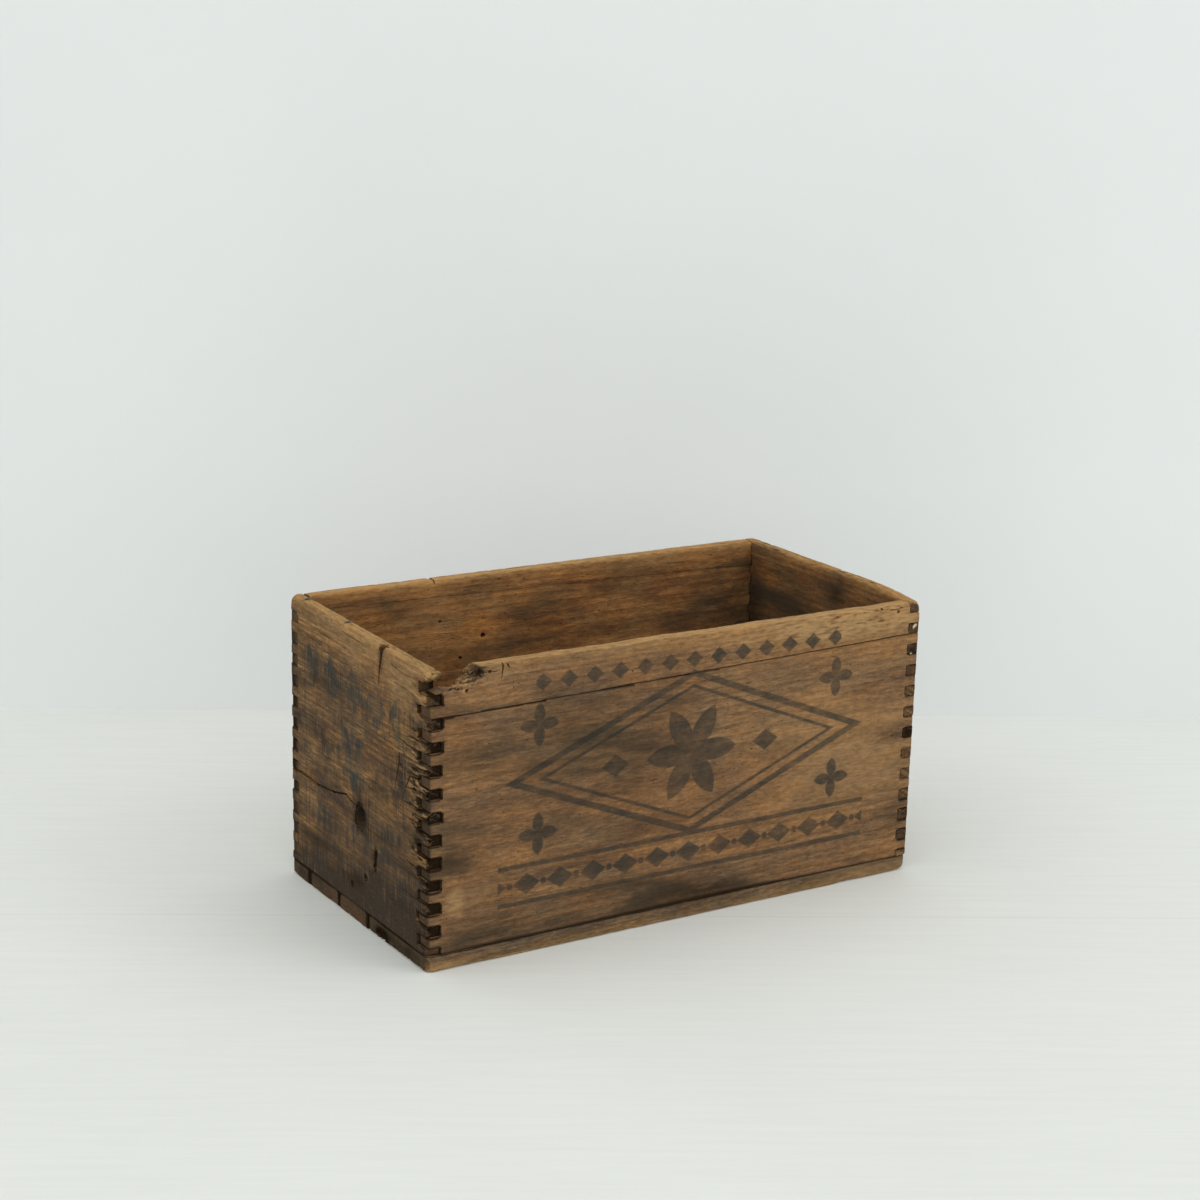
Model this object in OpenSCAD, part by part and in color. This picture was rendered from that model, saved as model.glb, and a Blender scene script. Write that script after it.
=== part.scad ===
// Open-topped wooden box with finger-jointed corners, an old shipping box for bottles.
// Millimetres. X runs along the front, Y from the front to the back, Z up.
// The origin is the middle of the underside.

/* [Box] */
// Outside length, along the front
box_len = 402; // [300:1:520]
// Outside width, from the front to the back
box_wid = 210; // [170:1:300]
// Height of the walls above the floor boards, at the back
wall_h = 197.5; // [150:0.5:260]
// How much lower the rim has worn at the front than at the back
front_drop = 3; // [0.5:0.5:6]

/* [Board thickness] */
// Thickness of the front and back boards
side_t = 12.5; // [10:0.5:18]
// Thickness of the end boards
end_t = 10.5; // [8:0.5:16]
// Thickness of the floor boards
floor_t = 12; // [9:0.5:18]

/* [Corner fingers] */
// Width of one finger
finger_w = 7.9; // [6:0.1:12]
// Height of each end board's top finger, at the back
top_finger_h = 10.9; // [9:0.1:16]
// Gap between one finger and the next
finger_gap = 0.2; // [0.1:0.05:0.5]

/* [Edge joints] */
// Thickness of the tongue between a lower and an upper board
tongue_t = 4; // [3:0.5:5]
// Height of the tongue
tongue_h = 4; // [2:0.5:5]
// Distance of the tongue's ends from the comb's shoulders
tongue_stop = 12; // [4:1:30]
// Gap between the tongue and its groove
tongue_gap = 0.2; // [0.1:0.05:0.4]

/* [Floor boards] */
// Width of the rear floor board
floor_rear_w = 31; // [26:1:40]
// Width of the second floor board from the rear
floor_second_w = 48; // [30:1:56]
// Width of the third floor board from the rear
floor_third_w = 45; // [30:1:56]
// Gap between one floor board and the next
floor_gap = 0.6; // [0.2:0.1:0.9]
// Radius of the floor's worn corners, seen from above
floor_corner_r = 5; // [2:0.5:8]
// Radius of the floor's worn lower edges
floor_edge_r = 2; // [1:0.5:4]

/* [Wear] */
// Radius of the worn rim edges
rim_r = 3; // [1:0.5:4]
// Radius of the worn upright corners
corner_r = 3; // [1:0.5:5]
// Length of the piece split off the front's upper left corner
split_len = 34; // [24:1:60]
// Depth of the chip under the tip of the left end board's top front finger
tip_chip = 6; // [2:0.5:9]
// Width of the knot hole in the left end board
knot_w = 15; // [8:0.5:20]
// Height of the knot hole
knot_h = 17; // [8:0.5:20]
// Distance of the knot hole's middle behind the front face
knot_y = 98; // [60:1:110]
// Height of the knot hole's middle above the ground
knot_z = 77; // [50:1:110]

/* [Floor nails] */
// Diameter of a floor nail
nail_d = 2.4; // [1.8:0.1:3]
// Diameter of its head
nail_head_d = 5.4; // [4.5:0.1:6]
// Thickness of its head
nail_head_t = 1.2; // [0.8:0.1:2]
// Length of a floor nail under its head
nail_len = 38; // [30:1:50]
// Depth of the heads below the floor's underside
nail_sink = 0.4; // [0.2:0.1:1]
// Gap between a nail and its hole
nail_gap = 0.05; // [0.02:0.01:0.1]
// Distance of the first nail of a floor board from the board's edge
nail_edge = 14; // [8:1:16]
// Distance of the first side nail from the end of the box
nail_end = 51; // [30:1:80]
// Spacing of the nails along the sides, at most
nail_pitch = 75; // [50:1:110]

/* [Lid nails] */
// Diameter of a lid nail
lid_nail_d = 2; // [1.5:0.1:2.4]
// Length of a lid nail's stub, bent over across the rim and beaten flat
stub_len = 8; // [6:0.5:9]
// Width of the flattened stub
stub_w = 3; // [2.6:0.1:4]
// Thickness of the flattened stub
stub_t = 1.2; // [0.8:0.1:1.6]
// Depth of a lid nail in the rim
lid_nail_depth = 24; // [15:1:30]
// Distance of the first lid nail from the back face
lid_nail_first = 19; // [16:1:24]
// Spacing of the lid nails along the rim
lid_nail_pitch = 64.4; // [50:0.1:75]

/* [Hidden] */
$fn = 48;
// Overlap of cutting shapes past what they cut
past = 1;
// Straight pieces that draw one quarter of a worn edge
arc_steps = 5;

box_h = floor_t + wall_h;
front_rim = box_h - front_drop;
comb_top = box_h - top_finger_h;
// The lowest end finger takes what is left of the wall, and is never under a fifth of a finger
side_fingers = round((comb_top - floor_t) / (2 * finger_w) - 0.1);

// Foot and head of side finger k, counted down from the rim
function finger_head(k) = comb_top - 2 * finger_w * k;
function finger_foot(k) = finger_head(k) - finger_w;

// Points of a quarter round about [cx, cy], from angle a on
function quarter(cx, cy, r, a) =
    [for (i = [0 : arc_steps]) [cx + r * cos(a + 90 * i / arc_steps), cy + r * sin(a + 90 * i / arc_steps)]];

// Outline of a rectangle from [0, 0] to [w, h], with round upper corners
function round_top(w, h, r) =
    concat([[0, 0], [w, 0]], quarter(w - r, h - r, r, 0), quarter(r, h - r, r, 90));

// Outline of the box from above, about its middle, with round corners
function round_plan(r) = concat(
    quarter(box_len / 2 - r, box_wid / 2 - r, r, 0),
    quarter(r - box_len / 2, box_wid / 2 - r, r, 90),
    quarter(r - box_len / 2, r - box_wid / 2, r, 180),
    quarter(box_len / 2 - r, r - box_wid / 2, r, 270));

// An outline drawn in X and Z, made into a solid t thick along Y
module upright(t) {
    translate([0, t, 0]) rotate([90, 0, 0]) linear_extrude(t) children();
}

// A wall board along X, from x = 0, with its rim rising from z0 to z1
module wall_board(len, t, z0, z1) {
    slope = atan((z1 - z0) / len);
    intersection() {
        translate([0, 0, floor_t]) cube([len, t, 2 * wall_h]);
        translate([0, 0, z0]) rotate([0, -slope, 0]) translate([-len / 4, 0, -2 * box_h])
            rotate([90, 0, 90]) linear_extrude(len * 1.5) polygon(round_top(t, 2 * box_h, rim_r));
    }
}

// Everything inside the worn upright corners of the box
module inside_corners() {
    linear_extrude(2 * box_h) polygon(round_plan(corner_r));
}

// Spaces between the side fingers, where the end fingers go, in a side board along X
module end_finger_spaces() {
    spaces = concat(
        [[comb_top, 2 * box_h]],
        [for (k = [1 : 1 : side_fingers - 1]) [finger_head(k), finger_foot(k - 1)]],
        [[floor_t - past, finger_foot(side_fingers - 1)]]);
    for (s = spaces, x = [-past, box_len - end_t])
        translate([x, -past, s[0] - finger_gap / 2])
            cube([end_t + past, side_t + 2 * past, s[1] - s[0] + finger_gap]);
}

// Spaces between the end fingers, where the side fingers go, in an end board along X
module side_finger_spaces() {
    for (k = [0 : side_fingers - 1], x = [-past, box_wid - side_t])
        translate([x, -past, finger_foot(k) - finger_gap / 2])
            cube([side_t + past, end_t + 2 * past, finger_w + finger_gap]);
}

// Height of an edge joint at x, rising from z0 to z1 between the shoulders of the comb
function joint_z(x, z0, z1) = z0 + (z1 - z0) * (x - end_t) / (box_len - 2 * end_t);

// Band over the edge joint from x0 to x1, as high as h
module over_joint(z0, z1, x0, x1, h) {
    polygon([[x0, joint_z(x0, z0, z1)], [x1, joint_z(x1, z0, z1)],
        [x1, joint_z(x1, z0, z1) + h], [x0, joint_z(x0, z0, z1) + h]]);
}

// Tongue of a lower board, rooted in the board, or with a gap the groove that it fits
module tongue(z0, z1, gap) {
    x0 = end_t + tongue_stop - gap;
    translate([0, (side_t - tongue_t) / 2 - gap, 0]) upright(tongue_t + 2 * gap)
        over_joint(z0 - past, z1 - past, x0, box_len - x0, tongue_h + gap + past);
}

// Side board along X under its edge joint, with the tongue on top
module lower_side(rim, z0, z1) {
    difference() {
        wall_board(box_len, side_t, rim, rim);
        translate([0, -past, 0]) upright(side_t + 2 * past)
            over_joint(z0, z1, -past, box_len + past, box_h);
        end_finger_spaces();
    }
    tongue(z0, z1, 0);
}

// Side board along X over its edge joint, with the groove under it
module upper_side(rim, z0, z1) {
    difference() {
        intersection() {
            wall_board(box_len, side_t, rim, rim);
            translate([0, -past, 0]) upright(side_t + 2 * past)
                over_joint(z0, z1, -past, box_len + past, box_h);
        }
        tongue(z0, z1, tongue_gap);
        end_finger_spaces();
    }
}

// The front joint climbs one finger from left to right, the back joint falls one
front_joint = [finger_foot(1), finger_head(1)];
back_joint = [finger_head(0), finger_foot(0)];

// Moves a side board to the front or the back
module at_front() { translate([-box_len / 2, -box_wid / 2, 0]) children(); }
module at_back() { translate([-box_len / 2, box_wid / 2 - side_t, 0]) children(); }

// Turns an end board along Y and moves it to the left or the right
module at_left() { translate([end_t - box_len / 2, -box_wid / 2, 0]) rotate([0, 0, 90]) children(); }
module at_right() { translate([box_len / 2, -box_wid / 2, 0]) rotate([0, 0, 90]) children(); }

// End board along X, from the front corner to the back corner
module end_board() {
    difference() {
        wall_board(box_wid, end_t, front_rim, box_h);
        side_finger_spaces();
    }
}

// Edges of the floor boards across the box, from the back to the front
floor_edges = [box_wid / 2, box_wid / 2 - floor_rear_w, box_wid / 2 - floor_rear_w - floor_second_w,
    box_wid / 2 - floor_rear_w - floor_second_w - floor_third_w, -box_wid / 2];

// Middle lines of the walls, where the floor nails go in
end_line = box_len / 2 - end_t / 2;
side_line = box_wid / 2 - side_t / 2;

// Places of the nails of floor board i along Y: one in a narrow board, otherwise two
function board_nails(i) =
    let (back = min(floor_edges[i], box_wid / 2 - side_t) - nail_edge / (i == 0 ? 2 : 1))
    let (front = max(floor_edges[i + 1], side_t - box_wid / 2) + nail_edge)
    back - front < nail_edge ? [back] : [back, front];
end_nail_ys = [for (i = [0 : 3]) each board_nails(i)];

// Places of the nails along the front and the back
side_run = box_len - 2 * nail_end;
side_gaps = ceil(side_run / nail_pitch);
side_nail_xs = [for (i = [0 : side_gaps]) -side_run / 2 + side_run * i / side_gaps];

// A floor nail at the origin, pointing up, or with a gap the hole that it fits
module floor_nail(gap) {
    translate([0, 0, gap > 0 ? -past : nail_sink])
        cylinder(h = nail_head_t + (gap > 0 ? nail_sink + past : 0), d = nail_head_d + 2 * gap);
    translate([0, 0, nail_sink + nail_head_t]) {
        cylinder(h = nail_len - 2 * nail_d + gap, d = nail_d + 2 * gap);
        translate([0, 0, nail_len - 2 * nail_d + gap])
            cylinder(h = 2 * nail_d, d1 = nail_d + 2 * gap, d2 = nail_d / 4 + 2 * gap);
    }
}

module end_nails(x, gap) { for (y = end_nail_ys) translate([x, y, 0]) floor_nail(gap); }
module side_nails(y, gap) { for (x = side_nail_xs) translate([x, y, 0]) floor_nail(gap); }

// Holes for all floor nails
module nail_holes() {
    for (x = [-end_line, end_line]) end_nails(x, nail_gap);
    for (y = [-side_line, side_line]) side_nails(y, nail_gap);
}

// Places of the lid nails along Y, from the back, and the height of the left rim there
function lid_nail_y(i) = box_wid / 2 - lid_nail_first - i * lid_nail_pitch;
function rim_at(y) = box_h - front_drop * (box_wid / 2 - y) / box_wid;

// Shank of lid nail i in the left rim, or with a gap its hole
module lid_nail_shank(i, gap) {
    translate([-end_line - stub_len / 4, lid_nail_y(i), rim_at(lid_nail_y(i)) - lid_nail_depth])
        cylinder(h = lid_nail_depth + stub_t / 2, d = lid_nail_d + 2 * gap);
}

// Lid nail i with its stub bent over inwards, flat on the rim
module lid_nail(i) {
    lid_nail_shank(i, 0);
    back_edge = lid_nail_y(i) + stub_w / 2;
    translate([-end_line - stub_len / 4 - stub_w / 2, back_edge - stub_w, rim_at(back_edge)])
        cube([stub_len, stub_w, stub_t]);
}

// Outline of the knot hole, a lopsided oval about its middle
function knot_edge(a) = 1 + 0.07 * cos(2 * a + 50) + 0.04 * cos(3 * a);
module knot_hole() {
    translate([knot_y, -past, knot_z]) upright(end_t + 2 * past)
        polygon([for (a = [0 : 15 : 345]) knot_edge(a) * [knot_w / 2 * cos(a), knot_h / 2 * sin(a)]]);
}

// The chip under the tip of the end board's top front finger
module chipped_tip() {
    translate([0, -past, 0]) upright(end_t + 2 * past)
        polygon([[-past, comb_top - finger_gap], [tip_chip, comb_top - finger_gap],
            [tip_chip * 0.6, comb_top + tip_chip * 0.2], [-past, comb_top + tip_chip]]);
}

// The piece split off the front's upper left corner, down to the first end finger
module split_corner() {
    low = finger_foot(0);
    high = front_rim - low;
    translate([0, -past, 0]) upright(side_t + 2 * past)
        polygon([[-past, low], [end_t, low + high * 0.12], [split_len * 0.5, low + high * 0.46],
            [split_len * 0.76, low + high * 0.84], [split_len * 0.86, low + high * 0.97],
            [split_len, front_rim + past], [-past, front_rim + past]]);
}

// Floor board i, counted from the back, with its worn outer edges
module floor_board(i) {
    gap_back = i == 0 ? 0 : floor_gap / 2;
    gap_front = i == 3 ? 0 : floor_gap / 2;
    y0 = floor_edges[i + 1] + gap_front;
    y1 = floor_edges[i] - gap_back;
    difference() {
        intersection() {
            translate([-box_len, y0, 0]) cube([2 * box_len, y1 - y0, floor_t]);
            linear_extrude(2 * floor_t) polygon(round_plan(floor_corner_r));
            translate([-box_len / 2, -box_wid, floor_t]) upright(2 * box_wid) mirror([0, 1])
                polygon(round_top(box_len, floor_t, floor_edge_r));
            translate([-box_len, -box_wid / 2, floor_t]) rotate([90, 0, 90]) linear_extrude(2 * box_len)
                mirror([0, 1]) polygon(round_top(box_wid, floor_t, floor_edge_r));
        }
        nail_holes();
    }
}

module front_lower_board() {
    color("#8a6238") difference() {
        intersection() {
            at_front() lower_side(front_rim, front_joint[0], front_joint[1]);
            inside_corners();
        }
        nail_holes();
    }
}

module front_upper_board() {
    color("#a57a48") intersection() {
        at_front() difference() {
            upper_side(front_rim, front_joint[0], front_joint[1]);
            split_corner();
        }
        inside_corners();
    }
}

module back_lower_board() {
    color("#7d5630") difference() {
        intersection() {
            at_back() lower_side(box_h, back_joint[0], back_joint[1]);
            inside_corners();
        }
        nail_holes();
    }
}

module back_upper_board() {
    color("#94693c") intersection() {
        at_back() upper_side(box_h, back_joint[0], back_joint[1]);
        inside_corners();
    }
}

// Two lid nails are left in the left rim, and the third left its hole
module left_end_board() {
    color("#7a5c3c") difference() {
        intersection() {
            at_left() difference() {
                end_board();
                knot_hole();
                chipped_tip();
            }
            inside_corners();
        }
        nail_holes();
        for (i = [0 : 2]) lid_nail_shank(i, nail_gap);
    }
}

module right_end_board() {
    color("#806040") difference() {
        intersection() {
            at_right() end_board();
            inside_corners();
        }
        nail_holes();
    }
}

module floor_board_rear() { color("#6b4f33") floor_board(0); }
module floor_board_second() { color("#755637") floor_board(1); }
module floor_board_third() { color("#7e5c3a") floor_board(2); }
module floor_board_front() { color("#86633f") floor_board(3); }

module floor_nails_left() { color("#5a4a40") end_nails(-end_line, 0); }
module floor_nails_right() { color("#5a4a40") end_nails(end_line, 0); }
module floor_nails_front() { color("#5a4a40") side_nails(-side_line, 0); }
module floor_nails_back() { color("#5a4a40") side_nails(side_line, 0); }

module bent_lid_nails() { color("#6f675f") for (i = [0, 1]) lid_nail(i); }

front_lower_board();
front_upper_board();
back_lower_board();
back_upper_board();
left_end_board();
right_end_board();
floor_board_rear();
floor_board_second();
floor_board_third();
floor_board_front();
floor_nails_left();
floor_nails_right();
floor_nails_front();
floor_nails_back();
bent_lid_nails();
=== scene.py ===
# %% [markdown]
# # An old finger-jointed shipping box
# The object is an open box of thin pine boards. Its corners are cut as combs whose fingers lock into
# each other, its front and back are each glued up from two boards, and its floor is nailed on from below.
# The solids already hold the true shapes and sizes. This lesson gives them what a century of use gave the
# real box: rubbed rims, sunken finger ends, cracks, stains, a faded print and rust.

# %% Load the frame
import math

import bmesh
import bpy
import numpy as np
from mathutils import Matrix, Vector
from mathutils import noise as lumps


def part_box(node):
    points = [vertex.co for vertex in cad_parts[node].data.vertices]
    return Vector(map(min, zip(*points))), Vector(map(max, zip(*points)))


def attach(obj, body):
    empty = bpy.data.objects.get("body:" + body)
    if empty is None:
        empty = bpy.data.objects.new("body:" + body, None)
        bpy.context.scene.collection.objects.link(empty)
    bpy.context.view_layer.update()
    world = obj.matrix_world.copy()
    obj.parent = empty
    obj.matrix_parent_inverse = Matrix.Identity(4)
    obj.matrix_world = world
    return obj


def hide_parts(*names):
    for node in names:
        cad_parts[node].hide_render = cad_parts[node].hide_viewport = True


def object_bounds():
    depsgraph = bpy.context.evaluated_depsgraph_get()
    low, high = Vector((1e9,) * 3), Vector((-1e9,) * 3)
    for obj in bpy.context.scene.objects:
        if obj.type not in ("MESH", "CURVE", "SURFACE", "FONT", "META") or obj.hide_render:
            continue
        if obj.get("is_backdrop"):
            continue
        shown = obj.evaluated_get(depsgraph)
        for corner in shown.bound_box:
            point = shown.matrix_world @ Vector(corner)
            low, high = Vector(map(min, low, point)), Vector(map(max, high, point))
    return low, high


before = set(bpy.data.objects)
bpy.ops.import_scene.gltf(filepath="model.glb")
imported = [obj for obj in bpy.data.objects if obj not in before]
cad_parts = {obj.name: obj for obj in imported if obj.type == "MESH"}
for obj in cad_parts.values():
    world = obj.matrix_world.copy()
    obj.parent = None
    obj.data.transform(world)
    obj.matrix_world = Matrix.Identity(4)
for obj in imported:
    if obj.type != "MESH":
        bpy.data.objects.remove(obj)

MM = 0.001
cad_low, cad_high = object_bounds()
half_length = cad_high.x
half_width = cad_high.y
front_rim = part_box("front_upper_board")[1].z
back_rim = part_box("back_upper_board")[1].z
floor_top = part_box("floor_board_front")[1].z
print("nodes:", sorted(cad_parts))
print("box in mm:", [round(v / MM, 1) for v in (*cad_low, *cad_high)])

# %% [markdown]
# ## The camera
# The viewing angle was fitted to the box's own straight edges. A long lens stands well back, a little to
# the left of the front and slightly above the rims, and the picture leans by a degree and a half. The
# camera's three axes are worked out from those angles, so nothing has to be aimed by hand.

# %% Camera
CAMERA_PLACE = Vector((-0.8698, -1.3691, 0.6334))
HEADING = math.radians(32.20)
TILT = math.radians(14.77)
ROLL = math.radians(1.47)
FOCAL_LENGTH = 70.41
SENSOR_WIDTH = 36


def in_scene(name, data):
    """A new object, linked into the scene."""
    piece = bpy.data.objects.new(name, data)
    bpy.context.scene.collection.objects.link(piece)
    return piece


forward = Vector((math.sin(HEADING) * math.cos(TILT), math.cos(HEADING) * math.cos(TILT), -math.sin(TILT)))
level_right = Vector((math.cos(HEADING), -math.sin(HEADING), 0))
level_down = forward.cross(level_right)
camera_right = math.cos(ROLL) * level_right - math.sin(ROLL) * level_down
camera_up = -(math.sin(ROLL) * level_right + math.cos(ROLL) * level_down)

lens = bpy.data.cameras.new("camera")
lens.lens = FOCAL_LENGTH
lens.sensor_width = SENSOR_WIDTH
camera = in_scene("camera", lens)
turn = Matrix((camera_right, camera_up, -forward)).transposed()
camera.matrix_world = Matrix.Translation(CAMERA_PLACE) @ turn.to_4x4()
bpy.context.scene.camera = camera
print("camera stands", round((CAMERA_PLACE - (cad_low + cad_high) / 2).length, 2), "m from the box")

# %% [markdown]
# ## A few helpers
# Every tree below, for shapes and for finishes, is made of nodes. One function adds any node: it sets the
# node's options, then fills its inputs in order or by name, with a value or a link. Others add a row of like
# nodes, link what is finished to a tree's result or shader, and start a node group with named sockets. The
# last turns an sRGB hex colour, as read from a picture, into the linear light that Blender works in.

# %% Helpers
def add(tree, kind, *values, out=0, **options):
    """Adds one node and returns an output. "Math.ADD" is a Math node set to ADD."""
    kind, _, operation = kind.partition(".")
    node = tree.nodes.new(kind if kind.startswith(("Geometry", "Function")) else "ShaderNode" + kind)
    if operation:
        options["operation"] = operation
    for option, value in options.items():
        setattr(node, option, value)
    sockets = [socket for socket in node.inputs if socket.enabled]
    named = {socket.name: socket for socket in reversed(sockets)}
    given = {}
    for place, value in enumerate(values):
        if isinstance(value, dict):
            given.update({named[name]: entry for name, entry in value.items()})
        else:
            given[sockets[place]] = value
    for socket, value in given.items():
        if isinstance(value, bpy.types.NodeSocket):
            tree.links.new(value, socket)
        else:
            socket.default_value = value
    shown = [socket for socket in node.outputs if socket.enabled]
    return shown[out] if isinstance(out, int) else node.outputs[out]


def chain(tree, kind, first, *others):
    """Adds a row of like nodes. Each takes the last one's output and one more value."""
    for other in others:
        first = add(tree, kind, first, other)
    return first


def link(node, sockets):
    """Links outputs to a node's inputs by name."""
    for name, socket in sockets.items():
        node.id_data.links.new(socket, node.inputs[name])


def new_group(name, kind, inputs, outputs):
    """A node group with sockets named by kind. Returns the tree, its given values and its result node."""
    tree = bpy.data.node_groups.new(name, kind)
    for in_out, sockets in (("INPUT", inputs), ("OUTPUT", outputs)):
        for socket_kind, names in sockets.items():
            for socket in names.split(", "):
                tree.interface.new_socket(socket, in_out=in_out, socket_type="NodeSocket" + socket_kind)
    return tree, tree.nodes.new("NodeGroupInput").outputs, tree.nodes.new("NodeGroupOutput")


def linear(code):
    """An sRGB hex colour as linear red, green, blue and alpha."""
    shares = [int(code[i:i + 2], 16) / 255 for i in (1, 3, 5)]
    light = [s / 12.92 if s <= 0.04045 else ((s + 0.055) / 1.055) ** 2.4 for s in shares]
    return (*light, 1.0)

# %% [markdown]
# ## Aged pine
# Sawn pine shows growth rings: pale early wood that hardens into a thin brown line each year. A board is
# a slice through long, slightly tapered cones around the pith, so the rings are drawn as distance from a
# pith line, squeezed along the trunk. The same pattern then shows arches on a face and curves on an end
# for free. Fibres, patches, pores and the spread of grime and painted shade are noises stretched along the
# grain, each at its own real size in millimetres. Three attributes come from the shapes below: how far an
# edge is rubbed, how much dirt and painted shade its edges hold, and how stained or clean a place is, with
# painted shade in sockets and gaps and one painted highlight among the stains.

# %% The pine pattern
pine_pattern, given, result = new_group(
    "aged pine pattern", "ShaderNodeTree",
    {"Vector": "Place, Pith", "Color": "Pale, Brown, Late",
     "Float": "Ring, Saw, Grain, Stain, Worn, Joint, End"},
    {"Color": "Color", "Float": "Height, Roughness, Gloss"})
t = pine_pattern
place = given["Place"]

# Sizes in millimetres along, through and across the board, then detail and roughness
NOISES = {
    "sway": ((260, 50, 50), 3, 0.5),
    "patch": ((74, 17, 17), 6, 0.64),
    "hue": ((36, 16, 16), 5, 0.64),
    "streak": ((44, 1.9, 1.9), 4, 0.62),
    "fibre": ((10, 0.8, 0.8), 3, 0.65),
    "mottle": ((6.5, 1.8, 1.8), 4, 0.7),
    "scratch": ((1.3, 20, 24), 3, 0.6),
    "grime_and_shade": ((66, 15, 15), 6, 0.68),
    "pore": ((6, 0.8, 0.8), 2, 0.5),
    "speck": ((2.8, 1.9, 1.9), 2, 0.5),
}
noise = {}
for name, (size, detail, rough) in NOISES.items():
    scaled = add(t, "VectorMath.DIVIDE", place, size)
    noise[name] = add(t, "TexNoise", {"Vector": scaled, "Scale": 1, "Detail": detail, "Roughness": rough})
print("pine noises:", ", ".join(noise))

# %% Growth rings
TRUNK_TAPER = 0.05
RING_SWAY = 16
from_pith = add(t, "VectorMath.SUBTRACT", place, given["Pith"])
slice_place = add(t, "VectorMath.MULTIPLY", from_pith, (TRUNK_TAPER, 1, 1))
pith_distance = add(t, "VectorMath.LENGTH", slice_place)
ring_place = add(t, "Math.MULTIPLY_ADD", noise["sway"], RING_SWAY, pith_distance)
phase = add(t, "Math.FRACT", add(t, "Math.DIVIDE", ring_place, given["Ring"]))
growth = add(t, "MapRange", phase, 0.3, 0.9, 0, 1, interpolation_type="SMOOTHSTEP")
winter = add(t, "MapRange", phase, 0.93, 1, 1, 0)
late_wood = add(t, "Math.MULTIPLY", growth, winter)

# %% The wood itself
# Years of weather grey the wood in some places, and resin warms it in others
GREYED = (0.84, 0.9, 1.0, 1)
WARMED = (1.14, 1.02, 0.86, 1)
LATE_SHARE = 0.3
LINE_SWING = 0.24
MOTTLE_SWING = 0.34
patchy = add(t, "MapRange", noise["patch"], 0.36, 0.64, 0, 1)
tone = add(t, "Mix", {"Factor": patchy, "A": given["Pale"], "B": given["Brown"]}, data_type="RGBA")
warm = add(t, "MapRange", noise["hue"], 0.36, 0.64, 0, 1)
tint = add(t, "Mix", {"Factor": warm, "A": GREYED, "B": WARMED}, data_type="RGBA")
tone = add(t, "VectorMath.MULTIPLY", tone, tint)
late_share = add(t, "Math.MULTIPLY", late_wood, LATE_SHARE)
tone = add(t, "Mix", {"Factor": late_share, "A": tone, "B": given["Late"]}, data_type="RGBA")
shades = []
for name in ("streak", "fibre"):
    lines = add(t, "MapRange", noise[name], 0.3, 0.7, -LINE_SWING, LINE_SWING)
    shades.append(add(t, "Math.MULTIPLY_ADD", lines, given["Grain"], 1))
shades.append(add(t, "MapRange", noise["mottle"], 0.3, 0.7, 1 - MOTTLE_SWING, 1 + MOTTLE_SWING))
scratched = add(t, "Math.MULTIPLY", add(t, "Math.SUBTRACT", noise["scratch"], 0.5), given["Saw"])
tone = chain(t, "VectorMath.MULTIPLY", tone, *shades, add(t, "Math.ADD", scratched, 1))

# %% What lies in and on the wood
# Each layer is a share between 0 and 1 and a tone, laid over the last in this order
fleck = add(t, "MapRange", noise["mottle"], 0.6, 0.78, 0, 0.5)
pore = add(t, "MapRange", noise["pore"], 0.63, 0.76, 0, 0.8)
pore = add(t, "Math.MAXIMUM", pore, add(t, "MapRange", noise["speck"], 0.68, 0.74, 0, 0.75))
rubbed = add(t, "Math.MULTIPLY", given["Worn"], add(t, "MapRange", noise["mottle"], 0.3, 0.6, 0.3, 1))
bare_light = add(t, "MapRange", noise["streak"], 0.3, 0.7, 0.7, 1.25)
bare_wood = add(t, "VectorMath.MULTIPLY", linear("#b58c53")[:3], bare_light)
end_share = add(t, "Math.MULTIPLY", given["End"], 0.85)
end_light = add(t, "MapRange", noise["mottle"], 0.35, 0.7, 0.35, 1)
end_wood = add(t, "VectorMath.MULTIPLY", linear("#593f26")[:3], end_light)
# One dark layer holds real stains and dirt, and also painted shade in sunken sockets, floor gaps and board
# joints
grime_spread = add(t, "MapRange", noise["grime_and_shade"], 0.3, 0.72, -0.36, 0.53)
dirt = add(t, "Math.ADD", given["Stain"], given["Joint"])
grime_and_shade = add(t, "MapRange", add(t, "Math.ADD", dirt, grime_spread), 0.05, 1.1, 0, 0.9,
            interpolation_type="SMOOTHSTEP")
# Where it is heaviest it turns near black, which in the sunken sockets is painted shade
soot_and_shade = add(t, "MapRange", dirt, 0.7, 1.2, 0, 1)
dirt_and_shade_tone = add(t, "Mix", {"Factor": soot_and_shade, "A": linear("#3d372e"), "B": linear("#1d160f")}, data_type="RGBA")
# Clean wood is lighter, and one such spot is a painted highlight
clean_share = add(t, "MapRange", noise["mottle"], 0.3, 0.6, 0.45, 1)
clean_and_highlight = add(t, "Math.MULTIPLY", add(t, "MapRange", given["Stain"], -0.1, -1, 0, 0.9), clean_share)
bleached = add(t, "MapRange", given["Stain"], -1.4, -2.4, 0, 1)
for share, layer in ((fleck, linear("#a47c4a")), (pore, linear("#2b1d11")), (rubbed, bare_wood),
                     (end_share, end_wood), (grime_and_shade, dirt_and_shade_tone), (clean_and_highlight, linear("#ad8a5c")),
                     (bleached, linear("#cdc5b4"))):
    tone = add(t, "Mix", {"Factor": share, "A": tone, "B": layer}, data_type="RGBA")

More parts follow.
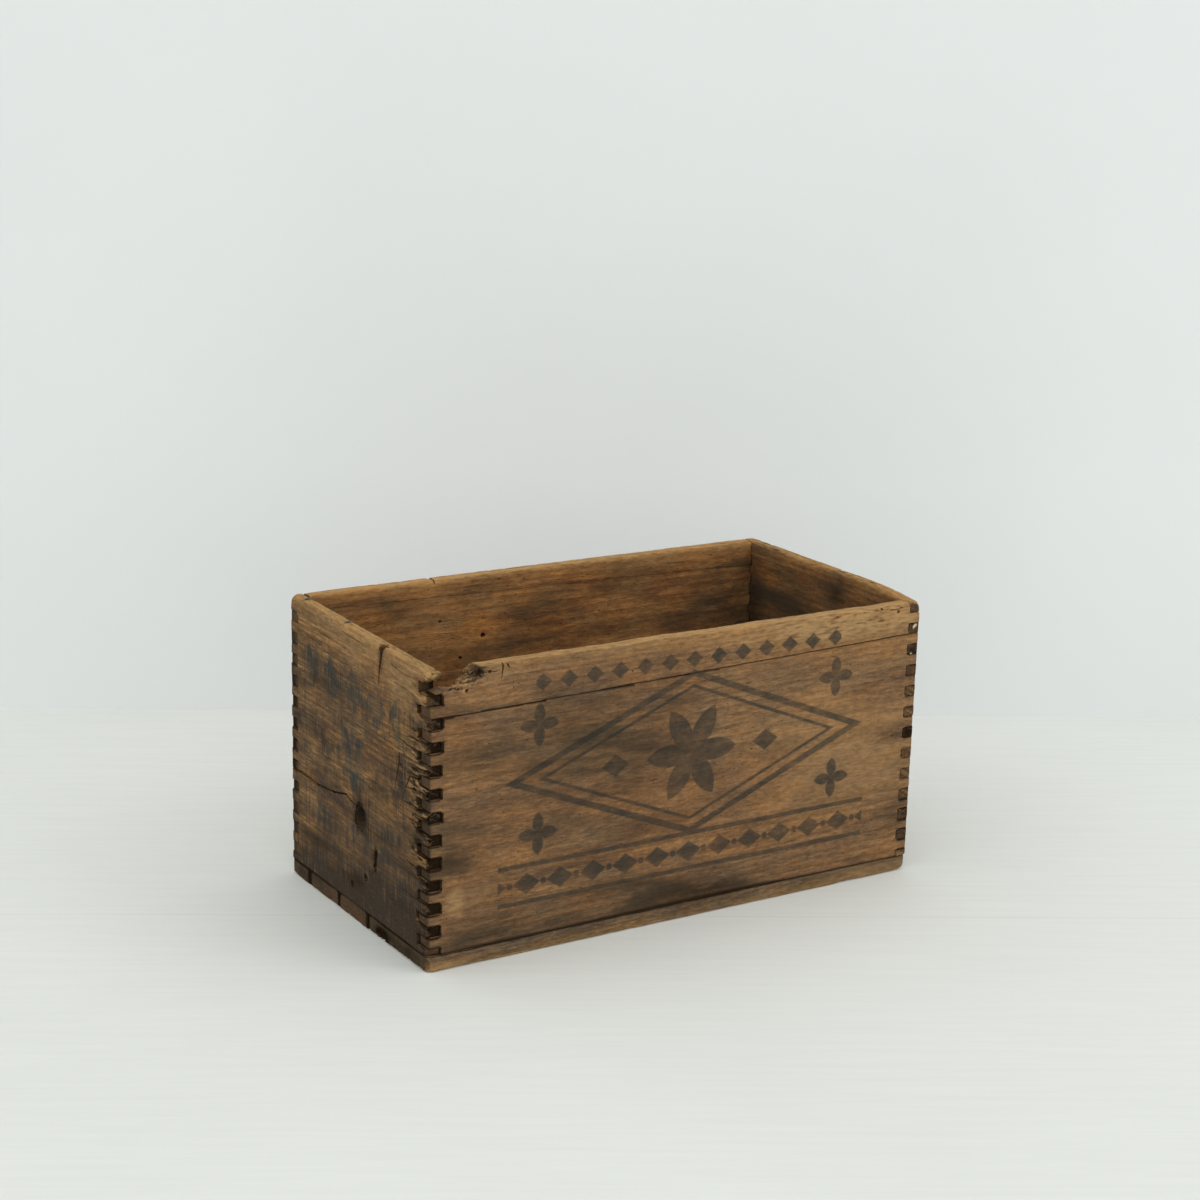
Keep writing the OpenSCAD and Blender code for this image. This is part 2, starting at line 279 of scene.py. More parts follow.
# %% Relief and shine of the pine
height = noise["fibre"]
for part, weight in ((late_wood, 0.35), (pore, -0.8), (scratched, 1.5), (noise["mottle"], 0.7)):
    height = add(t, "Math.MULTIPLY_ADD", part, weight, height)
roughness = add(t, "MapRange", noise["fibre"], 0.3, 0.7, 0.66, 0.84)
gloss = add(t, "MapRange", grime_and_shade, 0.1, 0.8, 0.16, 0)
link(result, {"Color": tone, "Height": height, "Roughness": roughness, "Gloss": gloss})
print("pine pattern:", len(t.nodes), "nodes")

# %% [markdown]
# ## The print on the front
# The front has a stencilled ornament in thin black ink: a wide lozenge frame with a six-petal rosette,
# small four-petal flowers at its corners, a row of lozenges above and a bead chain below. It could be a
# drawn picture, but a formula stays sharp at any size. Each motif is a distance in millimetres from its own
# outline, negative inside, so one number sets a line's width and the smallest of all the distances is the
# whole drawing.

# %% Motifs
def lozenge(tree, across, up, half_wide, half_high):
    """Distance from a lozenge, from positive distances across and up from its centre."""
    slant = math.hypot(half_wide, half_high)
    part = add(tree, "Math.MULTIPLY_ADD", across, half_high / slant, -half_wide * half_high / slant)
    return add(tree, "Math.MULTIPLY_ADD", up, half_wide / slant, part)


def outline(tree, distance, inset, half_line):
    """Distance from a line drawn inside an outline."""
    moved = add(tree, "Math.ABSOLUTE", add(tree, "Math.ADD", distance, inset))
    return add(tree, "Math.SUBTRACT", moved, half_line)


def rosette(tree, across, up, petals, length, bow):
    """Distance from a ring of pointed petals that meet at their centre. A smaller bow is a fuller petal."""
    angle = add(tree, "Math.PINGPONG", add(tree, "Math.ARCTAN2", up, across), math.pi / petals)
    spoke = add(tree, "VectorMath.LENGTH", add(tree, "CombineXYZ", across, 0, up))
    along = add(tree, "Math.MULTIPLY", spoke, add(tree, "Math.COSINE", angle))
    aside = add(tree, "Math.MULTIPLY", spoke, add(tree, "Math.SINE", angle))
    along = add(tree, "Math.SUBTRACT", along, length / 2)
    aside = add(tree, "Math.ADD", aside, bow)
    reach = add(tree, "VectorMath.LENGTH", add(tree, "CombineXYZ", along, 0, aside))
    return add(tree, "Math.SUBTRACT", reach, math.hypot(length / 2, bow))


def away_from(tree, value, middle):
    """The distance of a value from a middle, the same on both sides."""
    return add(tree, "Math.ABSOLUTE", add(tree, "Math.SUBTRACT", value, middle))


def kept_within(tree, distance, value, limit):
    """A motif cut off where a value passes a limit."""
    return add(tree, "Math.MAXIMUM", distance, add(tree, "Math.SUBTRACT", value, limit))

# %% The front print
FRAME_HALF_WIDE = 142
FRAME_HALF_HIGH = 57
SIDE_BEAD_AWAY = 62
FLOWER_AWAY = 122
FLOWER_RISE = 38
CHAIN_DROP = 72
CHAIN_PITCH = 26
CHAIN_HALF_WIDE = 152
CHAIN_RULE_AWAY = 13
ROW_RISE = 67
ROW_PITCH = 20
ROW_HALF_WIDE = 125

front_print, given, result = new_group(
    "front print", "ShaderNodeTree", {"Vector": "Place"}, {"Float": "Ink"})
t = front_print
parts = add(t, "SeparateXYZ", given["Place"]).node.outputs
across, up = parts["X"], parts["Z"]
wide = add(t, "Math.ABSOLUTE", across)
high = add(t, "Math.ABSOLUTE", up)

frame_edge = lozenge(t, wide, high, FRAME_HALF_WIDE, FRAME_HALF_HIGH)
motifs = [outline(t, frame_edge, inset, half_line) for inset, half_line in ((0, 2.3), (8.5, 1.2))]
motifs.append(rosette(t, across, up, petals=6, length=37, bow=17))
motifs.append(lozenge(t, away_from(t, wide, SIDE_BEAD_AWAY), high, 11, 8))
flower_across = add(t, "Math.SUBTRACT", wide, FLOWER_AWAY)
flower_up = add(t, "Math.SUBTRACT", high, FLOWER_RISE)
motifs.append(rosette(t, flower_across, flower_up, petals=4, length=15, bow=4.5))

chain_up = away_from(t, up, -CHAIN_DROP)
chain_across = add(t, "Math.PINGPONG", across, CHAIN_PITCH / 2)
bead_across = add(t, "Math.SUBTRACT", CHAIN_PITCH / 2, chain_across)
bead_reach = add(t, "VectorMath.LENGTH", add(t, "CombineXYZ", bead_across, 0, chain_up))
bead_chain = chain(t, "Math.MINIMUM", lozenge(t, chain_across, chain_up, 10.5, 7.5),
                   add(t, "Math.SUBTRACT", bead_reach, 2.4), outline(t, chain_up, -CHAIN_RULE_AWAY, 1.7))
motifs.append(kept_within(t, bead_chain, wide, CHAIN_HALF_WIDE))

row_across = add(t, "Math.PINGPONG", across, ROW_PITCH / 2)
row = lozenge(t, row_across, away_from(t, up, ROW_RISE), 7, 6)
motifs.append(kept_within(t, row, wide, ROW_HALF_WIDE))

link(result, {"Ink": add(t, "MapRange", chain(t, "Math.MINIMUM", *motifs), -0.5, 0.5, 1, 0)})
print("front print:", len(t.nodes), "nodes")

# %% [markdown]
# ## The smeared marks on the left end
# The left end took its ink badly: the saw marks caught it and the years smeared it. A row of lozenges, an
# eight-petal rosette, two rows of short bars and two thin upright lines make up its stencil. Their places
# are pushed about by a noise first, so that their outlines bleed. Blue-black ink has also run down in
# upright streaks, and it lies thick along the bottom.

# %% The left end marks
BLEED = 9
TOP_ROW_RISE = 55
ROSETTE_RISE = 10
# Height of each row of bars, then half the height and the pitch of its bars
BAR_ROWS = ((-28, 5, 7.5), (-48, 9, 9))
MARKS_HALF_WIDE = 70
SIDE_LINE_AWAY = 76
SIDE_LINE_TOP = 66

end_print, given, result = new_group(
    "end marks", "ShaderNodeTree", {"Vector": "Place"}, {"Float": "Ink, Wash"})
t = end_print
bleed_place = add(t, "VectorMath.DIVIDE", given["Place"], (BLEED, BLEED, BLEED))
bleed = add(t, "TexNoise", {"Vector": bleed_place, "Scale": 1, "Detail": 3}, out="Color")
shift = add(t, "VectorMath.MULTIPLY_ADD", bleed, (BLEED, 0, BLEED), (-BLEED / 2, 0, -BLEED / 2))
smeared = add(t, "VectorMath.ADD", given["Place"], shift)
parts = add(t, "SeparateXYZ", smeared).node.outputs
across, up = parts["X"], parts["Z"]
wide = add(t, "Math.ABSOLUTE", across)

rosette_up = add(t, "Math.SUBTRACT", up, ROSETTE_RISE)
motifs = [lozenge(t, add(t, "Math.PINGPONG", across, 17), away_from(t, up, TOP_ROW_RISE), 15, 18),
          rosette(t, across, rosette_up, petals=8, length=26, bow=14)]
for rise, half_high, pitch in BAR_ROWS:
    bar = add(t, "Math.SUBTRACT", add(t, "Math.PINGPONG", across, pitch / 2), pitch / 4)
    motifs.append(kept_within(t, bar, away_from(t, up, rise), half_high))
marks = kept_within(t, chain(t, "Math.MINIMUM", *motifs), wide, MARKS_HALF_WIDE)
side_line = add(t, "Math.SUBTRACT", away_from(t, wide, SIDE_LINE_AWAY), 0.9)
side_line = kept_within(t, side_line, up, SIDE_LINE_TOP)
drawn = add(t, "MapRange", marks, -1.2, 1.2, 0.95, 0)
ruled = add(t, "MapRange", side_line, -0.6, 0.8, 0.6, 0)

# %% Runs of ink
# Upright streaks and wide blots, by their sizes in millimetres and their detail
spread = []
for size, detail in (((2.6, 1, 28), 4), ((27, 1, 24), 5)):
    scaled = add(t, "VectorMath.DIVIDE", given["Place"], size)
    spread.append(add(t, "TexNoise", {"Vector": scaled, "Scale": 1, "Detail": detail, "Roughness": 0.6}))
streaks, blots = spread
streaky = add(t, "MapRange", streaks, 0.34, 0.6, 0.35, 1)
clear_rim = add(t, "MapRange", up, 62, 84, 1, 0)
blotted = add(t, "Math.MULTIPLY", add(t, "MapRange", blots, 0.46, 0.66, 0, 1.3), clear_rim)
puddle_up = add(t, "Math.MULTIPLY_ADD", across, 0.2, up)
puddle_up = add(t, "Math.MULTIPLY_ADD", add(t, "Math.SUBTRACT", blots, 0.5), -90, puddle_up)
puddle = add(t, "MapRange", puddle_up, -40, -88, 0, 1.7)
run = add(t, "Math.MULTIPLY", add(t, "Math.MAXIMUM", blotted, puddle), streaky)
broken = chain(t, "Math.MULTIPLY", drawn, add(t, "MapRange", streaks, 0.4, 0.54, 0.6, 1.2),
               add(t, "MapRange", blots, 0.4, 0.58, 0.4, 1.1))
link(result, {"Ink": add(t, "Math.MAXIMUM", broken, ruled), "Wash": run})
print("end marks:", len(t.nodes), "nodes")

# %% [markdown]
# ## The pine finishes
# Each wall gets its own finish from the one pattern: the grain runs along its own length, the pith lies at
# its own depth, and its own tones were matched to the picture. End grain, met where a face looks along
# the grain, drinks dirt and is nearly black. Ink is laid over the wood only on the outer face, thinned
# where fibres stand up and where hands rubbed. Nothing on old bare pine shines, so roughness stays high.

# %% Pine finish
GRAIN_DEPTH = 0.4 * MM


def new_finish(name):
    """A new material, its tree and its shader."""
    material = bpy.data.materials.new(name)
    material.use_nodes = True
    return material, material.node_tree, material.node_tree.nodes["Principled BSDF"]


def pine(name, grain, pith, ring, saw, streaks, tones, ink=None):
    """Old unpainted pine. grain gives which axes run along, through and across the board."""
    material, t, shader = new_finish(name)
    coords = add(t, "TexCoord").node.outputs
    place = add(t, "VectorMath.SCALE", coords["Object"], {"Scale": 1 / MM})
    parts = add(t, "SeparateXYZ", place).node.outputs
    facing = add(t, "SeparateXYZ", coords["Normal"]).node.outputs
    board_place = add(t, "CombineXYZ", *[parts[axis] for axis in grain])
    along = add(t, "Math.ABSOLUTE", facing[grain[0]])
    end_grain = add(t, "MapRange", along, 0.55, 0.85, 0, 1)
    wear = {socket: add(t, "Attribute", attribute_name=socket.lower(), out="Fac")
            for socket in ("Stain", "Worn", "Joint")}
    wood = dict(zip(("Pale", "Brown", "Late"), map(linear, tones)))
    cut = {"Place": board_place, "Pith": pith, "Ring": ring, "Saw": saw, "Grain": streaks, "End": end_grain}
    pattern = add(t, "Group", {**cut, **wear, **wood}, node_tree=pine_pattern).node.outputs
    tone = inked(t, pattern["Color"], parts, facing, *ink) if ink else pattern["Color"]
    bump = add(t, "Bump", {"Strength": 0.7, "Distance": GRAIN_DEPTH, "Height": pattern["Height"]})
    link(shader, {"Base Color": tone, "Roughness": pattern["Roughness"], "Normal": bump,
                  "Specular IOR Level": pattern["Gloss"]})
    return material


def inked(t, tone, parts, facing, marks, across_axis, face_axis, centre, strength, code):
    """Lays thin stencil ink over the wood on the face that looks towards minus face_axis."""
    across = add(t, "Math.SUBTRACT", parts[across_axis], centre[0])
    up = add(t, "Math.SUBTRACT", parts["Z"], centre[1])
    mark_place = add(t, "CombineXYZ", across, 0, up)
    stencil = add(t, "Group", {"Place": mark_place}, node_tree=marks).node.outputs
    outside = add(t, "MapRange", facing[face_axis], -0.8, -0.6, 1, 0)
    thin_place = add(t, "CombineXYZ", add(t, "Math.DIVIDE", across, 26), 0, add(t, "Math.DIVIDE", up, 15))
    worn_away = add(t, "TexNoise", {"Vector": thin_place, "Scale": 1, "Detail": 6, "Roughness": 0.7})
    thin = add(t, "MapRange", worn_away, 0.36, 0.66, 1, 0.6)
    speck_place = add(t, "CombineXYZ", add(t, "Math.DIVIDE", across, 5), 0, up)
    speck = add(t, "TexNoise", {"Vector": speck_place, "Scale": 1, "Detail": 4, "Roughness": 0.7})
    bare = add(t, "MapRange", speck, 0.5, 0.7, 1, 0.6)
    if "Wash" in stencil:
        washed = chain(t, "Math.MULTIPLY", add(t, "Math.MINIMUM", stencil["Wash"], 1), outside, bare)
        tone = add(t, "Mix", {"Factor": washed, "A": tone, "B": linear("#33291f")}, data_type="RGBA")
    share = chain(t, "Math.MULTIPLY", stencil["Ink"], outside, thin, bare, strength)
    return add(t, "Mix", {"Factor": share, "A": tone, "B": linear(code)}, data_type="RGBA")

# %% The five pine finishes
# Grain, pith, ring width, saw marks, streaks, then pale, brown and late wood, and the ink
finishes = {
    "front": pine("aged pine, printed front", "XYZ", (60, -20, 92), 3.6, 0.25, 0.6,
                  ("#8b6a47", "#70543b", "#4b3523"), (front_print, "X", "Y", (4, 122), 0.94, "#35322b")),
    "back": pine("aged pine, back", "XYZ", (-80, 190, 118), 4.2, 0.2, 0.5,
                 ("#a37646", "#714e2f", "#4b301b")),
    "left": pine("aged pine, left end", "YXZ", (20, -270, 60), 3.4, 1.1, 2.1,
                 ("#84643c", "#5c432b", "#3b2a19"), (end_print, "Y", "X", (4, 108), 0.95, "#2a302d")),
    "right": pine("aged pine, right end", "YXZ", (-30, 290, 84), 3.8, 0.4, 0.6,
                  ("#91693c", "#65452a", "#472e19")),
    "floor": pine("aged pine, floor", "XZY", (0, -60, 30), 4.0, 0.3, 0.9,
                  ("#745f48", "#524232", "#33291f")),
}
for finish in finishes.values():
    print(finish.name, len(finish.node_tree.nodes), "nodes")

# %% [markdown]
# ## A tree that wears a board
# The solids have crisp edges. On the real boards every edge is rubbed, unevenly, and the rims are wavy and
# chipped. A board is first turned into an even skin of small squares that keeps its sharp edges. Then this
# tree compares each point with the average of its neighbours: on an edge the average lies inside the wood,
# and how far inside says how sharp the edge is. Points move in by a share of that, more in some patches
# than others. Chips, shallow dents and a drop along the rim come from more noises. The tree only ever
# moves points inwards, so the box never grows. It also writes down where the wood was rubbed bare and
# where edges hold dirt and painted shade, which the finish reads.

# %% The worn board tree
worn_board, given, result = new_group(
    "worn board", "GeometryNodeTree",
    {"Geometry": "Board", "Vector": "Hard spot", "Material": "Finish",
     "Float": "Rub, Patch size, Dent depth, Dent size, Chip depth, Chip size, Rim height, Rim drop, "
              "Edge dirt, Hard reach, Seed"},
    {"Geometry": "Board"})
t = worn_board
RUB_STEPS = 4
JOINT_STEPS = 1
RIM_BAND = 14 * MM
WAVE_LONG = 45 * MM
place = add(t, "GeometryNodeInputPosition")
facing = add(t, "GeometryNodeInputNormal")
sharpness = []
for steps in (RUB_STEPS, JOINT_STEPS):
    average = add(t, "GeometryNodeBlurAttribute", {"Value": place, "Iterations": steps},
                  data_type="FLOAT_VECTOR")
    inside = add(t, "VectorMath.SUBTRACT", place, average)
    sharpness.append(add(t, "Math.MAXIMUM", add(t, "VectorMath.DOT_PRODUCT", inside, facing), 0))
sharp, edge = sharpness
below_rim = add(t, "Math.SUBTRACT", given["Rim height"], add(t, "SeparateXYZ", place, out="Z"))
rim_seen = add(t, "MapRange", add(t, "Math.ABSOLUTE", below_rim), 4 * MM, 9 * MM, 1, 0)
hard_way = add(t, "VectorMath.DISTANCE", place, given["Hard spot"])
hard = add(t, "MapRange", add(t, "Math.DIVIDE", hard_way, given["Hard reach"]), 0.2, 1, 1, 0)

# How each noise stretches the place, then its scale, detail and roughness
one_over = {name: add(t, "Math.DIVIDE", 1, given[name]) for name in ("Patch size", "Chip size", "Dent size")}
wear = {}
for name, stretch, scale, detail, rough in (
        ("patch", (1, 1, 1), one_over["Patch size"], 3, 0.5),
        ("chip", (1, 1, 1), one_over["Chip size"], 2, 0.5),
        ("dent", (0.45, 0.45, 1), one_over["Dent size"], 4, 0.6),
        ("wave", (1 / WAVE_LONG, 1 / WAVE_LONG, 0), 1, 4, 0.5)):
    stretched = add(t, "VectorMath.MULTIPLY", place, stretch)
    wear[name] = add(t, "TexNoise", {"Vector": stretched, "W": given["Seed"], "Scale": scale,
                                     "Detail": detail, "Roughness": rough}, noise_dimensions="4D")

# %% Rubbed, chipped and dented
patchy = add(t, "MapRange", wear["patch"], 0.38, 0.66, 0.25, 1.5)
rub = add(t, "Math.MULTIPLY", given["Rub"], add(t, "Math.ADD", patchy, hard))
rub_depth = add(t, "Math.MULTIPLY", sharp, rub)
chipped = add(t, "MapRange", wear["chip"], 0.54, 0.6, 0, 1)
chip_edge = add(t, "MapRange", sharp, 0.15 * MM, 0.5 * MM, 0, 1)
chip_depth = chain(t, "Math.MULTIPLY", chipped, chip_edge, given["Chip depth"], rim_seen)
dented = add(t, "MapRange", wear["dent"], 0.5, 0.75, 0, 1)
hard_dent = add(t, "Math.MULTIPLY_ADD", hard, 1.5, 1)
dent_depth = chain(t, "Math.MULTIPLY", dented, given["Dent depth"], hard_dent)
depth = chain(t, "Math.ADD", rub_depth, dent_depth, chip_depth)
inwards = add(t, "VectorMath.SCALE", facing, {"Scale": add(t, "Math.MULTIPLY", depth, -1)})

rim_share = add(t, "MapRange", below_rim, 0, RIM_BAND, 1, 0)
wavy = add(t, "MapRange", wear["wave"], 0.35, 0.75, 0, 1)
sink = chain(t, "Math.MULTIPLY", wavy, rim_share, given["Rim drop"], -1)
offset = add(t, "VectorMath.ADD", inwards, add(t, "CombineXYZ", 0, 0, sink))

# %% What the finish reads
rub_seen = add(t, "MapRange", sharp, 0.1 * MM, 0.7 * MM, 0.2, 1)
top_seen = add(t, "MapRange", add(t, "SeparateXYZ", facing, out="Z"), 0.6, 0.95, 0, 0.75)
worn = add(t, "Math.MULTIPLY", add(t, "Math.MAXIMUM", rub_seen, top_seen), rim_seen)
# Edges away from the rim get dirt and painted shade, which draws dark lines where boards meet
edge_seen = add(t, "MapRange", edge, 0.08 * MM, 0.4 * MM, 0, 1)
joint = chain(t, "Math.MULTIPLY", edge_seen, add(t, "Math.SUBTRACT", 1, rim_seen), given["Edge dirt"])
marked = given["Board"]
for name, level in (("worn", worn), ("joint", joint)):
    marked = add(t, "GeometryNodeStoreNamedAttribute",
                 {"Geometry": marked, "Name": name, "Value": level}, data_type="FLOAT")
moved = add(t, "GeometryNodeSetPosition", {"Geometry": marked, "Offset": offset})
real = add(t, "GeometryNodeRealizeInstances", {"Geometry": moved})
link(result, {"Board": add(t, "GeometryNodeSetMaterial", {"Geometry": real, "Material": given["Finish"]})})
print("worn board tree:", len(t.nodes), "nodes")

# %% [markdown]
# ## Cracks, holes and torn wood
# A drying crack is a thin wedge of missing wood that follows the grain, an edge joint that has opened is a
# long shallow one, a pulled nail leaves a round hole, and a knock tears slivers out. The saw that cut the
# corner sockets also ran a little too deep, which leaves a dark slit beside each finger. All of these are
# real cuts, made as small solids and taken away from the boards of one wall. A clean cut needs a knife that
# nowhere crosses itself, so cuts that meet are kept in separate layers.

# %% Layers of cuts
# How far a cutter stands out of the face
PROUD = 0.5 * MM
layers = {wall: [] for wall in ("front", "back", "left", "right", "floor")}


def keep(wall, cut):
    """Puts a cut into the first of a wall's layers where it meets no other."""
    bmesh.ops.recalc_face_normals(cut, faces=cut.faces)
    places = np.array([vert.co for vert in cut.verts])
    low, high = places.min(0), places.max(0)
    for layer, boxes in layers[wall]:
        if all((high < below).any() or (low > above).any() for below, above in boxes):
            break
    else:
        layer, boxes = bmesh.new(), []
        layers[wall].append((layer, boxes))
    boxes.append((low, high))
    mesh = bpy.data.meshes.new("cut")
    cut.to_mesh(mesh)
    layer.from_mesh(mesh)
    bpy.data.meshes.remove(mesh)
    cut.free()


def join_rings(work, rings):
    """Joins rings of points into a closed skin."""
    for ring, following in zip(rings, rings[1:]):
        for k in range(len(ring)):
            side = (k + 1) % len(ring)
            work.faces.new((ring[k], ring[side], following[side], following[k]))
    work.faces.new(rings[0][::-1])
    work.faces.new(rings[-1])

# %% Cracks, spikes and slits
def crack(wall, path, out, width, depth):
    """Cuts a wedge along a path on a face, thinner towards its end. out points away from the face."""
    cut = bmesh.new()
    rings = []
    for i, point in enumerate(path):
        ahead = path[min(i + 1, len(path) - 1)] - path[max(i - 1, 0)]
        aside = ahead.cross(out).normalized()
        half = width / 2 * (1 - 0.75 * i / (len(path) - 1))
        lift = out * PROUD
        rings.append([cut.verts.new(point + corner) for corner in
                      (lift + aside * half, lift - aside * half, -out * depth)])
    join_rings(cut, rings)
    keep(wall, cut)


def spike(wall, base, tip, base_width, tip_width, sides):
    """Cuts a tapered round or flat-sided spike, for a nail hole or a torn-out sliver."""
    cut = bmesh.new()
    way = tip - base
    turn = way.to_track_quat("Z", "Y").to_matrix().to_4x4()
    bmesh.ops.create_cone(cut, cap_ends=True, segments=sides, radius1=base_width / 2, radius2=tip_width / 2,
                          depth=way.length, matrix=Matrix.Translation((base + tip) / 2) @ turn)
    keep(wall, cut)


def nail_hole(wall, point, out, width, depth):
    """Cuts a slightly tapered round hole at a point on a face."""
    spike(wall, point + out * PROUD, point - out * depth, width, width * 0.6, 9)


def splinter(wall, base, way, length, width):
    """Tears a slender sliver out of the wood, widest at its base. Lengths are in millimetres."""
    spike(wall, base, base + Vector(way) * length * MM, width * MM, width * 0.12 * MM, 5)


def block(wall, corner, inner):
    """Cuts a box between two opposite corners."""
    cut = bmesh.new()
    stretch = Matrix.Diagonal((*[abs(side) for side in corner - inner], 1))
    bmesh.ops.create_cube(cut, size=1, matrix=Matrix.Translation((corner + inner) / 2) @ stretch)
    keep(wall, cut)

# %% Lumpy hollows and torn sheets
HOLLOW_LUMPS = Vector((1.3, 3, 4.5))
SHEET_ROWS = 41
SHEET_COLUMNS = 13
SHEET_LUMPS = (0.16, 0.3, 0.3)
SHEET_RELIEF = 2.4


def scoop(wall, centre, radii, roughness):
    """Tears out a lumpy hollow, from millimetres. The lumps are long along the grain."""
    cut = bmesh.new()
    for vert in bmesh.ops.create_icosphere(cut, subdivisions=4, radius=1)["verts"]:
        lump = lumps.fractal(vert.co * HOLLOW_LUMPS, 0.7, 2, 4) * roughness
        vert.co = (Vector(centre) + vert.co * (1 + lump) * Vector(radii)) * MM
    keep(wall, cut)


def on_path(path, far):
    """The point at a share of the way along a path of evenly counted corners."""
    steps = np.linspace(0, 1, len(path))
    return np.array([np.interp(far, steps, column) for column in zip(*path)])


def tear(wall, outer, inner, top):
    """Tears off all wood above a rough sheet between two paths, from millimetres."""
    cut = bmesh.new()
    low, high = [], []
    for far in np.linspace(0, 1, SHEET_ROWS):
        start, end = on_path(outer, far), on_path(inner, far)
        points = [Vector(start + (end - start) * share) for share in np.linspace(0, 1, SHEET_COLUMNS)]
        low.append([])
        for p in points:
            rough = lumps.fractal(Vector([v * lump for v, lump in zip(p, SHEET_LUMPS)]), 0.6, 2, 4)
            low[-1].append(cut.verts.new((p + Vector((0, 0, SHEET_RELIEF * rough))) * MM))
        high.append([cut.verts.new(Vector((p.x, p.y, top)) * MM) for p in points])
    for i, k in np.ndindex(SHEET_ROWS - 1, SHEET_COLUMNS - 1):
        for sheet in (low, high):
            cut.faces.new((sheet[i][k], sheet[i + 1][k], sheet[i + 1][k + 1], sheet[i][k + 1]))
    for i in range(SHEET_ROWS - 1):
        for k in (0, -1):
            cut.faces.new((low[i][k], low[i + 1][k], high[i + 1][k], high[i][k]))
    for k in range(SHEET_COLUMNS - 1):
        for i in (0, -1):
            cut.faces.new((low[i][k], low[i][k + 1], high[i][k + 1], high[i][k]))
    keep(wall, cut)

# %% Cracks and holes
LEFT_OUT = Vector((-1, 0, 0))
FRONT_OUT = Vector((0, -1, 0))
UP = Vector((0, 0, 1))
inside_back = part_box("back_lower_board")[0].y


def on_left(y, z):
    """A point on the outer face of the left end, from millimetres."""
    return Vector((-half_length, y * MM, z * MM))


def on_front(x, z):
    """A point on the outer face of the front, from millimetres."""
    return Vector((x * MM, -half_width, z * MM))


def in_back(x, z):
    """A point on the inner face of the back, from millimetres."""
    return Vector((x * MM, inside_back, z * MM))


# Each crack is a path across the face, then its width and depth. The front's last is its open edge joint
LEFT_CRACKS = (
    (((103, 81.5), (80, 81.6), (60, 81), (34, 83.4), (14, 88), (7, 85.6), (-4, 84)), 2.6, 7),
    (((-38.4, 208.6), (-38.8, 203), (-37.6, 197), (-36, 190), (-35, 180)), 4.4, 6),
    (((-31.6, 63), (-31, 55), (-30, 46)), 4.6, 5),
    (((-66, 142), (-62, 127), (-57, 108)), 1.2, 3),
    (((-80, 130), (-72, 116), (-66, 104)), 1.2, 3),
    (((57, 193.5), (38, 193), (19, 192.4)), 0.9, 1.5),
    (((20, 203), (0, 202.2), (-20, 201.6)), 0.9, 1.5),
    (((-52, 199), (-66, 197.4), (-82, 196.6)), 1, 1.5),
    (((-58, 188), (-75, 187), (-92, 186.4)), 0.9, 1.5),
    (((95, 186), (70, 185.4), (52, 184.8)), 0.8, 1.2),
    (((-23, 74), (-23.4, 67)), 1.6, 2),
    (((-20, 74), (-20.4, 68)), 1.4, 2),
)
FRONT_CRACKS = (
    (((-146, 206.2), (-146.6, 201), (-147.4, 195.6)), 1.3, 3),
    (((-159, 201.5), (-156, 202.6), (-152, 201), (-149, 202.4)), 1.1, 2),
    (((-143, 205.5), (-141.5, 202.5)), 1.6, 2),
    (((172, 203.5), (178, 203.1), (185, 203.6)), 1.3, 2),
    (((148, 204.4), (154, 204)), 1.3, 2),
    (((190, 182.8), (130, 181.5), (60, 180.1), (0, 178.8), (-60, 177.6), (-130, 176.2)), 1.3, 2.5),
)
FLOOR_JOINTS = (74, 26, -19)
FLOOR_JOINT_WIDE = 3.6 * MM
FLOOR_JOINT_DEEP = 5 * MM

# Each hole is its place on the face and its width
LEFT_HOLES = ((-15.6, 37, 5.4), (5.2, 25.2, 5.4), (-31.5, 59.5, 4.6), (-30.2, 50, 5.2))
FRONT_HOLES = ((180, 201, 2.4), (165, 205, 2.2), (-156, 201.5, 1.8), (-163, 201.5, 5), (-173, 191, 2))
BACK_HOLES = ((-51, 163, 3.4), (-87, 178, 2.4), (-70, 148, 2.6))
HOLE_DEPTH = 6 * MM
RIM_NOTCH = -92 * MM
NOTCH_WIDE = 5 * MM
NOTCH_DEEP = 3 * MM

for wall, face, out, cracks, holes in (("left", on_left, LEFT_OUT, LEFT_CRACKS, LEFT_HOLES),
                                       ("front", on_front, FRONT_OUT, FRONT_CRACKS, FRONT_HOLES),
                                       ("back", in_back, FRONT_OUT, (), BACK_HOLES)):
    for path, width, depth in cracks:
        crack(wall, [face(*point) for point in path], out, width * MM, depth * MM)
    for side, height, width in holes:
        nail_hole(wall, face(side, height), out, width * MM, HOLE_DEPTH)
    print(wall, "has", len(cracks), "cracks and", len(holes), "nail holes")
for y in FLOOR_JOINTS:
    crack("floor", [on_left(y, z) for z in (-1, 6, 13)], LEFT_OUT, FLOOR_JOINT_WIDE, FLOOR_JOINT_DEEP)
notch = [Vector((RIM_NOTCH, y, back_rim)) for y in (half_width + 1 * MM, inside_back - 1 * MM)]
crack("back", notch, UP, NOTCH_WIDE, NOTCH_DEEP)
# The torn edge of the knot hole, the split at the left rim and a chip in the floor's end
scoop("left", (-202, -7.5, 79), (6, 8, 10), 0.3)
scoop("left", (-201, -38, 209), (7, 4.4, 6), 0.4)
scoop("floor", (-202, -40, 3), (4, 8, 4), 0.3)

# %% Over-cut sockets
FINGER = 7.9 * MM
TOP_FINGER = 10.9 * MM
SOCKET_DEPTH = 8 * MM
OVERLAP = 0.2 * MM
comb_top = back_rim - TOP_FINGER
finger_count = math.ceil((comb_top - floor_top) / FINGER)
side_wall = half_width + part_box("front_lower_board")[1].y
end_wall = half_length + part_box("left_end_board")[1].x
random = np.random.default_rng(7)


